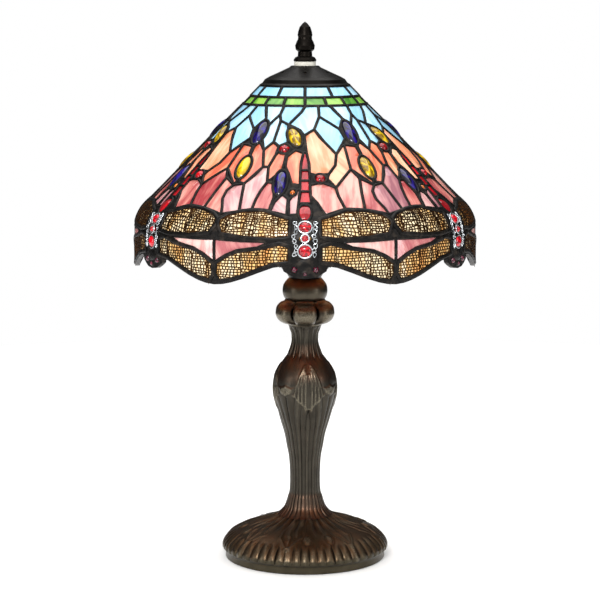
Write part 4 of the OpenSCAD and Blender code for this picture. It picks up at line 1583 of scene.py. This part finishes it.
# ------------------------------------------------------------------ studio
@dataclass
class Studio:
    """A pale floor, soft white light and the camera.

    Attributes:
        distance_m: Distance of the camera from the lamp's axis.
        eye_m: Height of the camera.
        down_deg: How far it looks down.
        lens_mm: Focal length on a 36 mm sensor.
        shift: Sideways shift that centres the lamp as framed.
        floor_m: Radius of the floor.
    """

    distance_m: float = 1.9
    eye_m: float = 0.501
    down_deg: float = 7.85
    lens_mm: float = 125.6
    shift: float = -5 / 600
    floor_m: float = 1.3

    def camera(self) -> None:
        """Stands the camera in front of the lamp."""
        lens = bpy.data.cameras.new("camera")
        lens.lens = self.lens_mm
        lens.sensor_width = 36
        lens.shift_x = self.shift
        lens.clip_end = 50
        holder = bpy.data.objects.new("camera", lens)
        holder.location = (0, -self.distance_m, self.eye_m)
        holder.rotation_euler = (math.radians(90 - self.down_deg), 0, 0)
        bpy.context.scene.collection.objects.link(holder)
        bpy.context.scene.camera = holder

    def floor(self) -> None:
        """Lays the pale floor."""
        shape = bmesh.new()
        bmesh.ops.create_circle(shape, cap_ends=True, segments=96, radius=self.floor_m)
        mesh = meshed(shape)
        made = bpy.data.objects.new("floor", mesh)
        bpy.context.scene.collection.objects.link(made)
        paper = bpy.data.materials.new("matt white paper")
        paper.use_nodes = True
        shader = paper.node_tree.nodes["Principled BSDF"]
        shader.inputs["Base Color"].default_value = linear("#f4f4f3")
        shader.inputs["Roughness"].default_value = 0.85
        mesh.materials.append(paper)

    def light(
        self, name: str, spot: tuple[float, float, float], size: tuple[float, float], power: float
    ) -> None:
        """Hangs a soft light that faces the lamp.

        Args:
            name: The light's name.
            spot: Its place, in metres.
            size: Its width and height, in metres.
            power: Its power in watts.
        """
        lamp = bpy.data.lights.new(name, "AREA")
        lamp.shape = "RECTANGLE"
        lamp.size, lamp.size_y = size
        lamp.energy = power
        holder = bpy.data.objects.new(name, lamp)
        holder.location = spot
        holder.rotation_euler = (Vector((0, 0, 0.26)) - Vector(spot)).to_track_quat("-Z", "Y").to_euler()
        bpy.context.scene.collection.objects.link(holder)

    def world(self) -> None:
        """Fills the room with white light that is softest near the floor, before a white wall."""
        room = bpy.data.worlds.new("room")
        room.use_nodes = True
        tree = room.node_tree
        back = tree.nodes["Background"]
        up = add(tree, "ShaderNodeSeparateXYZ", {0: add(tree, "ShaderNodeTexCoord").outputs["Generated"]})
        level = spread(tree, up.outputs[2], -0.1, 0.7, (0.28, 1.0))
        paths = add(tree, "ShaderNodeLightPath").outputs
        # polished metal reflects a darker wall behind the lamp, which gives castings dark edges
        ahead = spread(tree, up.outputs[1], -0.75, 0.1, (1.3, 0.12))
        mirrored = spread(tree, paths["Is Glossy Ray"], 0, 1, (1.0, 0.0))
        # every ray but a reflected one keeps the full level
        share = add(tree, "ShaderNodeMath", {0: ahead, 1: mirrored}, operation="MAXIMUM")
        level = times(tree, level, share.outputs[0])
        seen = paths["Is Camera Ray"]
        strength = add(tree, "ShaderNodeMath", {0: level, 1: seen}, operation="MAXIMUM")
        back.inputs["Color"].default_value = (1, 1, 1, 1)
        tree.links.new(strength.outputs[0], back.inputs["Strength"])
        bpy.context.scene.world = room

    def build(self) -> None:
        """Sets the studio up."""
        bpy.context.scene.view_settings.view_transform = "Standard"
        self.world()
        self.floor()
        self.camera()
        self.light("front softbox", (-0.35, -1.9, 1.3), (0.7, 0.5), 30)
        self.light("top softbox", (0, 0.3, 2.2), (2.4, 2.4), 46)
        self.light("left strip", (-1.7, -0.9, 0.5), (0.18, 1.1), 6)
        self.light("right strip", (1.7, -0.9, 0.5), (0.18, 1.1), 6)


def main() -> None:
    """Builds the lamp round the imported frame."""
    logging.basicConfig(level=logging.INFO, format="%(message)s")
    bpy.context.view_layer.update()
    Studio().build()
    LOG.info("studio built")
    rim_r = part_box("foot_casting")[1].x / MM
    foot = [corner.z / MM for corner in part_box("foot_casting")]
    stem = [corner.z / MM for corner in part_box("stem_casting")]
    Castings(rim_r, (foot[0], foot[1]), (stem[0], stem[1]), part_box("stem_casting")[1].x / MM).build()
    for node, finish in PLAIN_NODES.items():
        finish.dress(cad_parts[node])
        LOG.info("%s: dressed in %s", node, finish.name)
    skirt_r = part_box("lead_came")[1].x / MM - 1.8
    crown_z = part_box("crown_glass")[1].z / MM + 0.4
    surface = ShadeSurface(CROWN_R, skirt_r, BEND_R, math.radians(SLOPE_DEG), crown_z)
    LeadedShade(surface).build()
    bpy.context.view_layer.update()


if __name__ == "__main__":
    main()
